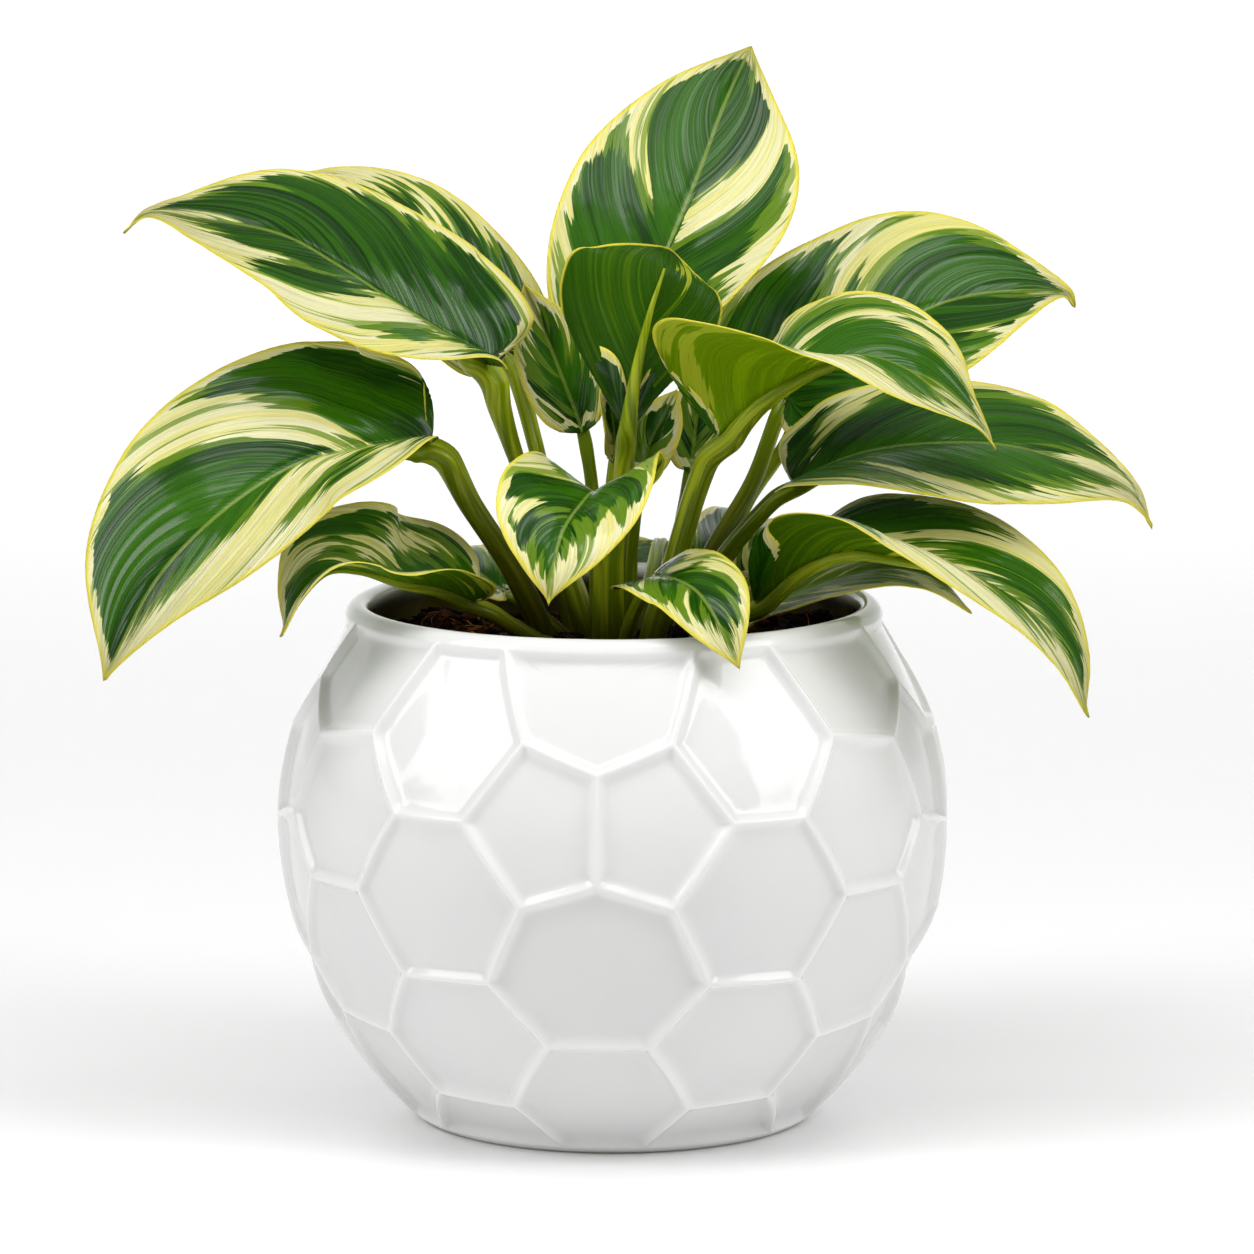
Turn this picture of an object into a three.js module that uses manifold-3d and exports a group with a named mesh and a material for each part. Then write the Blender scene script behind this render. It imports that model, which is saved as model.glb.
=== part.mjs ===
import * as THREE from "three";
import { mergeVertices } from "three/addons/utils/BufferGeometryUtils.js";
import Module from "manifold-3d";

const wasm = await Module();
wasm.setup();

// A variegated pothos in a round glazed pot. Lengths are millimetres and angles are degrees.
// The origin is the middle of the pot's flat base, +Z is up and -Y is the front.

// The bowl's skin is a rounded ball whose lower and upper halves have their own reach and fullness.
const bowl = {
  radius: 75,
  waist: 69,
  below: { reach: 86, power: 1.95 },
  above: { reach: 84, power: 1.75 },
};
const baseRadius = 43.7;
const footTop = 1.6;
const bandBottom = 112.5;
const rimProfile = [
  [59.6, 114.4],
  [57.4, 115.8],
  [55.2, 115.3],
  [54.4, 113.6],
];
const cavityProfile = [
  [56.6, 109.6],
  [60.4, 100],
  [66.6, 80],
  [67, 56],
  [60, 28],
  [46, 8],
];
const cavityFloor = 6;

// The raised net of ridges, with sunken panels between.
const patternTurn = -2.8;
const chamferWidth = 2.3;
const panelDepth = 1.5;
const panelFlatness = 0.5;
const ridgeStep = 15;
const ringStep = 9.5;

// Corners of the net on one quarter of the bowl: degrees round from the front, and height.
const corners = {
  rim1: [20, bandBottom],
  rim2: [37, bandBottom],
  rim3: [68.5, bandBottom],
  upper0: [0, 88.7],
  upper1: [13.4, 95],
  upper2: [45.5, 94],
  upper3: [62.4, 91],
  shoulder1: [72.4, 101.4],
  shoulder2: [82.4, 89],
  middle1: [23.2, 78],
  middle2: [36.6, 78],
  middle3: [67.3, 73],
  middle4: [81.5, 69],
  waist0: [0, 65.3],
  waist1: [12.7, 60],
  waist2: [45.3, 60],
  waist3: [60, 60],
  low1: [19.5, 42.5],
  low2: [37, 42],
  low3: [69.7, 39.4],
  low4: [84, 48],
  knee1: [9.6, 28],
  knee2: [46, 27],
  knee3: [62.8, 28.7],
  knee4: [79, 23],
  base1: [20, 12],
  base2: [40, 13],
  foot1: [11, footTop],
  foot2: [52, footTop],
  foot3: [71, footTop],
};

// A name with - lies past the front line and one with + past the side line.
const quarterPanels = [
  ["rim1", "rim2", "upper2", "middle2", "middle1", "upper1"],
  ["rim2", "rim3", "shoulder1", "upper3", "upper2"],
  ["upper0", "upper1", "middle1", "waist1", "waist0"],
  ["middle1", "middle2", "waist2", "low2", "low1", "waist1"],
  ["upper2", "upper3", "middle3", "waist3", "waist2", "middle2"],
  ["low1", "low2", "knee2", "base2", "base1", "knee1"],
  ["waist2", "waist3", "low3", "knee3", "knee2", "low2"],
  ["shoulder1", "shoulder2", "middle4", "middle3", "upper3"],
  ["middle3", "middle4", "low4", "low3", "waist3"],
  ["base1", "base2", "foot2", "foot1"],
  ["knee2", "knee3", "foot3", "foot2", "base2"],
  ["low3", "knee4", "foot3", "knee3"],
];
const frontPanels = [
  ["-rim1", "rim1", "upper1", "upper0", "-upper1"],
  ["waist0", "waist1", "low1", "knee1", "-knee1", "-low1", "-waist1"],
  ["-knee1", "knee1", "base1", "foot1", "-foot1", "-base1"],
];
const sidePanels = [
  ["rim3", "+rim3", "+shoulder1", "+shoulder2", "shoulder2", "shoulder1"],
  ["shoulder2", "+shoulder2", "+middle4", "+low4", "low4", "middle4"],
  ["low4", "+low4", "+low3", "+knee4", "knee4", "low3"],
  ["knee4", "+knee4", "+foot3", "foot3"],
];
const quarters = [
  { crossing: true, turn: (a) => a },
  { crossing: false, turn: (a) => -a },
  { crossing: true, turn: (a) => 180 - a },
  { crossing: false, turn: (a) => a - 180 },
];

// Soil
const soilGap = 0.35;
const soilEdge = 103.5;
const soilCrown = 107.5;
const soilLump = 0.8;
const soilWaves = { x: 0.31, y: 0.27, skew: 0.12, shift: 1 };
const soilRings = 3;
const soilFloorRound = 2;
const holeClearance = 0.4;
const holeTop = 113;

// Leaves
const bladeThickness = 0.7;
const bladeRows = 9;
const bladeColumns = 2;
const spineSteps = 24;
const waveRate = 11;
const firstVein = 0.4;
const veinSpread = 1.15;
const veinBend = { along: 0.35, out: 0.6 };
const stemSides = 6;
const stemSteps = 5;
const sinkStart = -8;
const sinkEnd = 2;
const ribEnd = 0.82;
const ribEndRadius = 0.6;
const ribRise = 0.1;

// spine runs from inside the soil to the tip, and blade is the spine point where the blade starts.
// half is the blade's half width left and right of the rib, and stem the stem's radius at its foot and
// at the blade. ruffle is the height of the waves at the margin.
// lobe is how far the lobes reach back past the base, widest where the blade is widest and point how
// full the tip is, all as shares of the blade's length; a lobe below 0 narrows the blade to a wedge.
// face is where the upper side looks. fold and curl are how steeply each half rises from the rib and how
// much it bends on towards its margin. All three are given at the base, the middle and the tip.
// columns, where given, is the number of strips that make up each half.
const leaves = {
  leaf_top: {
    spine: [[3, 6, 88], [3, 6, 103], [2, 8, 123], [4, 10, 150], [6, 13, 173], [10, 18, 187],
      [19, 30, 208], [25, 40, 223], [31, 48, 235]],
    blade: 4, half: [26.5, 25], stem: [2.6, 1.8], ruffle: 0.6,
    lobe: 0.05, widest: 0.38, point: 0.38, columns: 3,
    face: [[-0.1, -0.9, 0.4], [-0.1, -0.85, 0.5], [0, -0.8, 0.6]],
    fold: { left: [10, 5, 5], right: [45, 5, 0] },
    curl: { left: [5, 5, 0], right: [0, 0, 0] },
  },
  leaf_upper_left: {
    spine: [[-6, -2, 88], [-6, -2, 105], [-12, -4, 125], [-20, -6, 144], [-25, -8, 159], [-28, -9, 170],
      [-38, -11, 177], [-50, -14, 185], [-60, -17, 192], [-72, -20, 199], [-90, -24, 203],
      [-101, -26, 204], [-106, -27, 200]],
    blade: 5, half: [23, 26], stem: [2.2, 1.5], ruffle: 0.6,
    lobe: 0.02, widest: 0.34, point: 0.04, columns: 3,
    face: [[0.4, -0.7, 0.6], [0.2, -0.6, 0.77], [0, -0.5, 0.85]],
    fold: { left: [65, 2, 0], right: [15, 5, 5] },
    curl: { left: [-20, 0, 0], right: [-10, -10, 0] },
  },
  leaf_centre: {
    spine: [[0, -6, 88], [0, -6, 105], [0, -8, 126], [2, -10, 144], [3, -11, 155], [5, -14, 169],
      [8, -15, 182], [11, -13, 191], [12, -9, 195]],
    blade: 4, half: [16.5, 21], stem: [2.6, 2.1], ruffle: 0.3,
    lobe: -0.4, widest: 0.72, point: 0.75, columns: 3,
    face: [[0, 1, 0.1], [0, 1, 0.2], [0, 0.9, 0.4]],
    fold: { left: [30, 10, 10], right: [30, 10, 10] },
    curl: { left: [0, 10, 20], right: [0, 10, 20] },
  },
  leaf_upper_right: {
    spine: [[14, 8, 88], [14, 8, 103], [21, 11, 123], [31, 15, 140], [39, 20, 159], [47, 24, 166],
      [57, 26, 171], [75, 30, 179], [89, 33, 181], [102, 35, 180], [104, 35, 177]],
    blade: 4, half: [28, 23], stem: [2.4, 1.7], ruffle: 0.6,
    lobe: 0.12, widest: 0.45, point: 0.08,
    face: [[-0.2, -0.8, 0.5], [-0.1, -0.7, 0.7], [0, -0.6, 0.8]],
    fold: { left: [15, 10, 5], right: [15, 10, 5] },
    curl: { left: [0, 0, 0], right: [0, 0, 0] },
  },
  leaf_right_folded: {
    spine: [[8, -8, 88], [8, -8, 105], [13, -9, 124], [18, -11, 142], [23, -13, 154], [30, -16, 162],
      [37, -19, 167], [45, -21, 171], [54, -23, 173], [64, -25, 170], [73, -27, 163], [80, -28, 157],
      [83, -29, 153]],
    blade: 4, half: [20, 35], stem: [3.2, 2.5], ruffle: 0.4,
    lobe: -0.06, widest: 0.4, point: 0.22, columns: 3,
    face: [[-0.7, -0.1, 0.7], [0, -0.5, 0.85], [0.5, -0.5, 0.7]],
    fold: { left: [-5, 8, 0], right: [112, 34, 38] },
    curl: { left: [0, 0, 0], right: [0, 0, 0] },
  },
  leaf_right: {
    spine: [[17, 2, 88], [17, 2, 104], [22, 0, 121], [31, -4, 134], [40, -7, 143], [47, -9, 147],
      [55, -10, 150], [67, -11, 152], [85, -12, 152], [98, -14, 149], [113, -16, 142], [118, -17, 134]],
    blade: 4, half: [21, 23], stem: [2.6, 1.8], ruffle: 0.6,
    lobe: 0.02, widest: 0.42, point: 0.06, columns: 3,
    face: [[-0.1, -0.5, 0.85], [0, -0.45, 0.9], [0.3, -0.5, 0.8]],
    fold: { left: [15, 8, 5], right: [40, 5, 0] },
    curl: { left: [-10, 0, 0], right: [-10, -10, 0] },
  },
  leaf_lower_right: {
    spine: [[16, -12, 88], [16, -12, 105], [22, -15, 111], [31, -19, 118], [41, -23, 127],
      [51, -27, 131], [62, -30, 130], [75, -33, 127], [90, -36, 119], [99, -38, 108], [103, -40, 96]],
    blade: 3, half: [20, 24], stem: [2.6, 2], ruffle: 0.6,
    lobe: -0.15, widest: 0.42, point: 0.2, columns: 3,
    face: [[-0.5, -0.3, 0.8], [0.1, -0.35, 0.9], [0.6, -0.5, 0.6]],
    fold: { left: [-10, 15, 10], right: [90, 46, 0] },
    curl: { left: [0, 0, 0], right: [0, -45, 0] },
  },
  leaf_low_right: {
    spine: [[17, -5, 88], [17, -5, 104], [22, -5, 107], [30, -5, 114], [39, -6, 118], [50, -7, 122],
      [61, -8, 124], [70, -9, 122], [79, -9, 114]],
    blade: 3, half: [9, 14], stem: [1.8, 1.3], ruffle: 0.4,
    lobe: 0.1, widest: 0.4, point: 0.2,
    face: [[-0.1, -0.3, 0.9], [0, -0.25, 0.95], [0.4, -0.2, 0.9]],
    fold: { left: [10, 5, 0], right: [10, 5, 0] },
    curl: { left: [0, 0, 0], right: [0, 0, 0] },
  },
  leaf_left: {
    spine: [[-15, -6, 88], [-15, -6, 105], [-21, -12, 122], [-31, -18, 139], [-40, -23, 154],
      [-50, -27, 154], [-58, -30, 153], [-67, -32, 151], [-77, -35, 146], [-89, -39, 137],
      [-99, -42, 126], [-110, -46, 105]],
    blade: 4, half: [18, 30], stem: [3, 2.2], ruffle: 0.6,
    lobe: -0.02, widest: 0.42, point: 0.25, columns: 3,
    face: [[0.1, -0.6, 0.8], [-0.2, -0.7, 0.7], [-0.5, -0.8, 0.4]],
    fold: { left: [55, -5, 0], right: [28, 8, 5] },
    curl: { left: [-10, 0, 0], right: [0, 0, 0] },
  },
  leaf_lower_left: {
    spine: [[-12, -14, 88], [-12, -14, 106], [-17, -16, 109], [-24, -20, 114], [-30, -24, 119],
      [-38, -28, 123], [-46, -32, 125], [-55, -35, 128], [-62, -38, 128], [-68, -40, 122],
      [-72, -42, 114]],
    blade: 4, half: [14, 19], stem: [2.2, 1.7], ruffle: 0.4,
    lobe: 0, widest: 0.42, point: 0.2, columns: 3,
    face: [[0.1, -0.6, 0.8], [-0.2, -0.55, 0.8], [-0.8, -0.3, 0.5]],
    fold: { left: [75, 50, 20], right: [10, 10, 10] },
    curl: { left: [-20, -20, 0], right: [0, 0, 0] },
  },
  leaf_low_left: {
    spine: [[-9, 1, 88], [-9, 1, 104], [-15, 1, 111], [-21, 3, 115], [-25, 6, 117], [-30, 11, 120],
      [-35, 19, 121], [-40, 28, 120], [-45, 37, 117]],
    blade: 4, half: [9, 9], stem: [1.8, 1.3], ruffle: 0.4,
    lobe: 0.1, widest: 0.42, point: 0.3,
    face: [[0.3, -0.6, 0.8], [0, -0.4, 0.9], [-0.3, -0.2, 0.9]],
    fold: { left: [10, 10, 10], right: [10, 10, 10] },
    curl: { left: [0, 0, 0], right: [0, 0, 0] },
  },
  leaf_front: {
    spine: [[-3, -14, 88], [-3, -14, 106], [-3, -17, 120], [-3, -21, 134], [-4, -26, 143],
      [-7, -35, 142], [-11, -43, 137], [-13, -48, 130], [-14, -50, 122]],
    blade: 4, half: [19, 18], stem: [2, 1.5], ruffle: 0.4,
    lobe: 0.24, widest: 0.3, point: 0.1,
    face: [[0, -0.5, 0.85], [0, -0.75, 0.65], [0, -0.95, 0.3]],
    fold: { left: [40, 25, 10], right: [15, 10, 10] },
    curl: { left: [10, 0, 0], right: [10, 0, 0] },
  },
  leaf_front_right: {
    spine: [[2, -16, 88], [2, -16, 106], [4, -22, 115], [7, -29, 122], [9, -36, 126], [13, -44, 127],
      [18, -50, 125], [22, -56, 120], [27, -61, 110]],
    blade: 4, half: [11, 12], stem: [1.8, 1.3], ruffle: 0.3,
    lobe: 0.18, widest: 0.35, point: 0.22,
    face: [[-0.1, -0.5, 0.85], [0.1, -0.65, 0.75], [0.3, -0.9, 0.4]],
    fold: { left: [15, 10, 10], right: [15, 10, 10] },
    curl: { left: [0, 0, 0], right: [0, 0, 0] },
  },
  leaf_behind_left: {
    spine: [[-9, 8, 88], [-9, 8, 103], [-13, 12, 127], [-18, 15, 150], [-24, 18, 169], [-33, 24, 183],
      [-48, 31, 197], [-62, 37, 203], [-77, 42, 205]],
    blade: 4, half: [22, 16], stem: [2.2, 1.6], ruffle: 0.6,
    lobe: 0.05, widest: 0.42, point: 0.2,
    face: [[0.3, -0.8, 0.5], [0.2, -0.7, 0.7], [0, -0.5, 0.85]],
    fold: { left: [10, 5, 5], right: [10, 5, 5] },
    curl: { left: [0, 0, 0], right: [-10, -10, 0] },
  },
  leaf_inner_left: {
    spine: [[-4, 2, 88], [-4, 2, 104], [-4, 2, 124], [-5, 2, 142], [-7, 2, 153], [-11, 3, 164],
      [-15, 5, 174], [-20, 5, 186]],
    blade: 4, half: [9, 9], stem: [1.8, 1.4], ruffle: 0.3,
    lobe: -0.05, widest: 0.42, point: 0.3,
    face: [[-0.2, -0.95, 0.3], [-0.2, -0.95, 0.3], [-0.2, -0.95, 0.3]],
    fold: { left: [15, 10, 10], right: [15, 10, 10] },
    curl: { left: [0, 0, 0], right: [0, 0, 0] },
  },
  leaf_bud: {
    spine: [[-2, -1, 88], [-2, -1, 104], [-2, -2, 125], [-1, -3, 138], [0, -3, 147], [0, -3, 154],
      [-1, -3, 161], [-2, -3, 166]],
    blade: 4, half: [5, 5], stem: [1.5, 1.2], ruffle: 0,
    lobe: -0.1, widest: 0.45, point: 0.3,
    face: [[0, -1, 0.1], [0, -1, 0.1], [0, -1, 0.1]],
    fold: { left: [30, 35, 30], right: [30, 35, 30] },
    curl: { left: [60, 60, 40], right: [60, 60, 40] },
  },
  leaf_small_centre: {
    spine: [[4, 0, 88], [4, 0, 104], [4, 0, 125], [5, -1, 136], [6, -1, 144], [8, -1, 151],
      [11, -1, 157], [14, -1, 163]],
    blade: 4, half: [6, 6.5], stem: [1.5, 1.2], ruffle: 0.2,
    lobe: -0.03, widest: 0.42, point: 0.3,
    face: [[-0.2, -0.9, 0.3], [-0.2, -0.9, 0.3], [-0.2, -0.9, 0.3]],
    fold: { left: [15, 10, 10], right: [15, 10, 10] },
    curl: { left: [0, 0, 0], right: [0, 0, 0] },
  },
  leaf_small_right: {
    spine: [[9, 2, 88], [9, 2, 104], [13, 4, 122], [15, 5, 134], [17, 5, 144], [18, 6, 153],
      [19, 7, 161], [19, 8, 168]],
    blade: 4, half: [7, 7], stem: [1.6, 1.2], ruffle: 0.2,
    lobe: -0.03, widest: 0.42, point: 0.3,
    face: [[0.2, -0.95, 0.2], [0.2, -0.95, 0.2], [0.2, -0.95, 0.2]],
    fold: { left: [15, 10, 10], right: [15, 10, 10] },
    curl: { left: [0, 0, 0], right: [0, 0, 0] },
  },
  leaf_back_small: {
    spine: [[10, 15, 88], [10, 15, 103], [14, 19, 111], [18, 25, 116], [20, 31, 120], [23, 38, 123],
      [26, 48, 125], [28, 58, 127], [31, 68, 125]],
    blade: 4, half: [8, 8], stem: [1.6, 1.2], ruffle: 0.3,
    lobe: 0.05, widest: 0.42, point: 0.3,
    face: [[0, -0.8, 0.6], [0, -0.5, 0.85], [0.2, -0.2, 0.95]],
    fold: { left: [10, 10, 10], right: [10, 10, 10] },
    curl: { left: [0, 0, 0], right: [0, 0, 0] },
  },
  leaf_back_right_low: {
    spine: [[20, 8, 88], [20, 8, 103], [24, 12, 108], [28, 16, 113], [32, 20, 118], [37, 26, 123],
      [43, 33, 124], [50, 41, 122], [55, 47, 115]],
    blade: 4, half: [10, 12], stem: [1.8, 1.3], ruffle: 0.3,
    lobe: 0.06, widest: 0.42, point: 0.3,
    face: [[-0.1, -0.6, 0.8], [0.1, -0.4, 0.9], [0.5, -0.2, 0.8]],
    fold: { left: [10, 10, 10], right: [30, 20, 10] },
    curl: { left: [0, 0, 0], right: [-30, -20, 0] },
  },
  leaf_back_right: {
    spine: [[18, 17, 88], [18, 17, 103], [22, 19, 118], [30, 22, 135], [40, 27, 150], [40, 36, 159],
      [49, 50, 163], [57, 64, 163], [63, 78, 159], [67, 90, 153]],
    blade: 5, half: [19, 19], stem: [2, 1.5], ruffle: 0.5,
    lobe: 0.06, widest: 0.42, point: 0.2,
    face: [[0.1, -0.2, 1], [0.2, 0.1, 1], [0.5, 0.5, 0.7]],
    fold: { left: [10, 10, 5], right: [10, 10, 5] },
    curl: { left: [0, 0, 0], right: [0, 0, 0] },
  },
  leaf_back: {
    spine: [[6, 12, 88], [6, 12, 103], [7, 20, 111], [9, 32, 118], [10, 44, 121], [11, 57, 120],
      [12, 70, 115], [12, 82, 108], [13, 92, 98], [14, 98, 85]],
    blade: 5, half: [15, 15], stem: [2.2, 1.6], ruffle: 0.5,
    lobe: 0, widest: 0.4, point: 0.2,
    face: [[0, 0.1, 1], [0, 0.5, 0.9], [0, 0.9, 0.4]],
    fold: { left: [10, 10, 5], right: [10, 10, 5] },
    curl: { left: [0, 0, 0], right: [0, 0, 0] },
  },
  leaf_back_left: {
    spine: [[-5, 12, 88], [-5, 12, 103], [-7, 18, 112], [-10, 30, 118], [-13, 43, 120], [-17, 55, 120],
      [-22, 66, 115], [-27, 76, 108], [-31, 83, 99], [-33, 88, 88]],
    blade: 5, half: [14, 14], stem: [2, 1.5], ruffle: 0.5,
    lobe: 0.04, widest: 0.42, point: 0.2,
    face: [[-0.1, 0.1, 1], [-0.3, 0.5, 0.8], [-0.4, 0.9, 0.4]],
    fold: { left: [10, 10, 5], right: [10, 10, 5] },
    curl: { left: [0, 0, 0], right: [0, 0, 0] },
  },
};

const radians = Math.PI / 180;

function bowlHalf(z) {
  return z < bowl.waist ? bowl.below : bowl.above;
}

function bowlRadius(z) {
  const { reach, power } = bowlHalf(z);
  const t = Math.abs(z - bowl.waist) / reach;
  return bowl.radius * (1 - t ** power) ** (1 / power);
}

// A point of the skin at an angle round from the pattern's front and a height.
function skinPoint([angle, z]) {
  const turn = (angle + patternTurn) * radians;
  const r = bowlRadius(z);
  return new THREE.Vector3(r * Math.sin(turn), -r * Math.cos(turn), z);
}

// Slides a point along its ray from the bowl's heart onto the skin, then sinks it.
function ontoBowl(point, depth) {
  const heart = new THREE.Vector3(0, 0, bowl.waist);
  const ray = point.clone().sub(heart);
  const { reach, power } = bowlHalf(point.z);
  const spread = Math.hypot(ray.x, ray.y) / bowl.radius;
  const rise = Math.abs(ray.z) / reach;
  ray.multiplyScalar((spread ** power + rise ** power) ** (-1 / power));
  return heart.add(ray.setLength(ray.length() - depth));
}

function cornerPlace(name, turn) {
  const mark = name[0];
  const [angle, z] = corners[name.replace(/^[-+]/, "")];
  if (mark === "-") {
    return [turn(-angle), z];
  }
  return [turn(mark === "+" ? 180 - angle : angle), z];
}

// The crest of one ridge, from its first corner up to but not with its second.
function crestPoints(from, to) {
  const level = from[1] === to[1] && (from[1] === bandBottom || from[1] === footTop);
  const length = skinPoint(from).distanceTo(skinPoint(to));
  const steps = Math.max(1, Math.round(length / (level ? ringStep : ridgeStep)));
  const points = [];
  for (let i = 0; i < steps; i += 1) {
    const f = i / steps;
    points.push(skinPoint([from[0] + (to[0] - from[0]) * f, from[1] + (to[1] - from[1]) * f]));
  }
  return points;
}

function panelCrest(names, turn) {
  const places = names.map((name) => cornerPlace(name, turn));
  return places.flatMap((place, i) => crestPoints(place, places[(i + 1) % places.length]));
}

function middleOf(points) {
  const sum = points.reduce((total, p) => total.add(p), new THREE.Vector3());
  return sum.divideScalar(points.length);
}

// Moves a closed loop inwards over the skin by one width all round and sinks it.
function insetLoop(loop, width, depth) {
  return loop.map((point, i) => {
    const before = loop[(i + loop.length - 1) % loop.length];
    const after = loop[(i + 1) % loop.length];
    const out = point.clone().sub(new THREE.Vector3(0, 0, bowl.waist)).normalize();
    const sideBefore = out.clone().cross(point.clone().sub(before)).normalize();
    const sideAfter = out.clone().cross(after.clone().sub(point)).normalize();
    const mitre = sideBefore.clone().add(sideAfter).divideScalar(1 + sideBefore.dot(sideAfter));
    return ontoBowl(point.clone().addScaledVector(mitre, width), depth);
  });
}

function addTriangle(triangles, a, b, c) {
  triangles.push(a, b, c);
}

// A strip of faces between two loops of the same length, seen from outside with the inner on the left.
function addStrip(triangles, outer, inner) {
  outer.forEach((point, i) => {
    const next = (i + 1) % outer.length;
    addTriangle(triangles, point, outer[next], inner[next]);
    addTriangle(triangles, point, inner[next], inner[i]);
  });
}

function addFan(triangles, loop, hub) {
  loop.forEach((point, i) => addTriangle(triangles, point, loop[(i + 1) % loop.length], hub));
}

// One sunken panel: a chamfer down from the crest, then a nearly flat floor.
function addPanel(triangles, names, turn) {
  let crest = panelCrest(names, turn);
  const middle = middleOf(crest);
  const spin = crest[0].clone().sub(middle).cross(crest[1].clone().sub(middle));
  if (spin.dot(middle.clone().sub(new THREE.Vector3(0, 0, bowl.waist))) < 0) {
    crest = crest.reverse();
  }
  const floor = insetLoop(crest, chamferWidth, panelDepth);
  const flat = middleOf(floor);
  addStrip(triangles, crest, floor);
  addFan(triangles, floor, ontoBowl(flat, panelDepth).lerp(flat, panelFlatness));
}

// Every corner of the net that lies on one level ring of the bowl, in order round the pot.
function ringAngles(names) {
  const loop = [];
  const places = [];
  quarters.forEach(({ turn }) => {
    names.forEach((name) => places.push(cornerPlace(name, turn)));
  });
  places.sort((a, b) => a[0] - b[0]);
  places.forEach((place, i) => {
    const last = i === places.length - 1;
    const next = last ? [places[0][0] + 360, place[1]] : places[i + 1];
    crestPoints(place, next).forEach((point) => loop.push(Math.atan2(point.x, -point.y)));
  });
  return loop;
}

function ringLoop(angles, radius, z) {
  return angles.map((a) => new THREE.Vector3(radius * Math.sin(a), -radius * Math.cos(a), z));
}

function triangleGeometry(triangles) {
  const raw = new THREE.BufferGeometry().setFromPoints(triangles);
  const merged = mergeVertices(raw, 1e-4);
  merged.computeVertexNormals();
  return merged;
}

function potGeometry() {
  const triangles = [];
  quarters.forEach(({ crossing, turn }, i) => {
    quarterPanels.forEach((names) => addPanel(triangles, names, turn));
    if (crossing) {
      frontPanels.forEach((names) => addPanel(triangles, names, turn));
    }
    if (i < 2) {
      sidePanels.forEach((names) => addPanel(triangles, names, turn));
    }
  });
  const rimAngles = ringAngles(["rim1", "rim2", "rim3"]);
  const rings = [[bowlRadius(bandBottom), bandBottom], ...rimProfile, ...cavityProfile];
  const loops = rings.map(([r, z]) => ringLoop(rimAngles, r, z));
  loops.slice(1).forEach((loop, i) => addStrip(triangles, loops[i], loop));
  addFan(triangles, loops[loops.length - 1], new THREE.Vector3(0, 0, cavityFloor));
  const footAngles = ringAngles(["foot1", "foot2", "foot3"]);
  const foot = ringLoop(footAngles, bowlRadius(footTop), footTop);
  const base = ringLoop(footAngles, baseRadius, 0);
  addStrip(triangles, base, foot);
  addFan(triangles, base.slice().reverse(), new THREE.Vector3(0, 0, 0));
  return triangleGeometry(triangles);
}

function toSolid(geometry) {
  const bare = geometry.clone();
  bare.deleteAttribute("normal");
  const merged = mergeVertices(bare, 1e-5);
  const mesh = new wasm.Mesh({
    numProp: 3,
    vertProperties: new Float32Array(merged.attributes.position.array),
    triVerts: new Uint32Array(merged.index.array),
  });
  return new wasm.Manifold(mesh);
}

function toGeometry(solid) {
  const mesh = solid.getMesh();
  const geometry = new THREE.BufferGeometry();
  geometry.setAttribute("position", new THREE.BufferAttribute(new Float32Array(mesh.vertProperties), 3));
  geometry.setIndex(new THREE.BufferAttribute(new Uint32Array(mesh.triVerts), 1));
  geometry.computeVertexNormals();
  return geometry;
}

// The value at t on the smooth curve through three numbers given at 0, a half and 1.
function curveThrough([start, middle, end], t) {
  const f = THREE.MathUtils.clamp(t, 0, 1);
  return start * (1 - f) * (1 - 2 * f) + 4 * middle * f * (1 - f) + end * f * (2 * f - 1);
}

// The spine as a dense run of points, measured along its length from the blade's base.
function spineRun(leaf) {
  const curve = new THREE.CatmullRomCurve3(leaf.spine.map((p) => new THREE.Vector3(...p)));
  const count = (leaf.spine.length - 1) * spineSteps;
  const points = Array.from({ length: count + 1 }, (_, i) => curve.getPoint(i / count));
  const lengths = [0];
  points.slice(1).forEach((p, i) => lengths.push(lengths[i] + p.distanceTo(points[i])));
  const zero = lengths[leaf.blade * spineSteps];
  return { points, lengths: lengths.map((length) => length - zero) };
}

// The point and direction of the spine at a length; past its ends it runs on straight.
function spineAt({ points, lengths }, length) {
  let i = lengths.findIndex((value) => value > length) - 1;
  if (i < 0) {
    i = length < lengths[0] ? 0 : lengths.length - 2;
  }
  const f = (length - lengths[i]) / (lengths[i + 1] - lengths[i]);
  const point = points[i].clone().lerp(points[i + 1], f);
  const before = points[Math.max(0, i - 1)];
  const after = points[Math.min(points.length - 1, i + 2)];
  return { point, along: after.clone().sub(before).normalize() };
}

// The rib's frame at a length of the blade: lobes behind the base keep the frame of the base.
function bladeFrame(leaf, run, length) {
  const reach = run.lengths[run.lengths.length - 1];
  const { point, along } = spineAt(run, Math.max(0, length));
  point.addScaledVector(along, Math.min(0, length));
  const up = new THREE.Vector3(
    ...[0, 1, 2].map((k) => curveThrough(leaf.face.map((face) => face[k]), length / reach))
  );
  up.addScaledVector(along, -up.dot(along)).normalize();
  return { point, along, up, right: along.clone().cross(up) };
}

// A blade's outline on the flat, from the sinus round the lobe to the tip, for half width and length 1.
function outlinePoint({ lobe, widest, point }, t) {
  const taper = 1 - widest;
  const spans = [
    [[0, 0], [-0.6 * lobe, 0.02], [-lobe, 0.15], [-lobe, 0.42]],
    [[-lobe, 0.42], [-lobe, 0.8], [widest - 0.6 * (widest + lobe), 1], [widest, 1]],
    [[widest, 1], [widest + 0.53 * taper, 1], [widest + 0.78 * taper, point], [1, 0]],
  ];
  const span = Math.min(2, Math.floor(t * 3));
  const f = t * 3 - span;
  const weights = [(1 - f) ** 3, 3 * f * (1 - f) ** 2, 3 * f * f * (1 - f), f ** 3];
  return [0, 1].map((k) => weights.reduce((sum, w, i) => sum + w * spans[span][i][k], 0));
}

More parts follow.
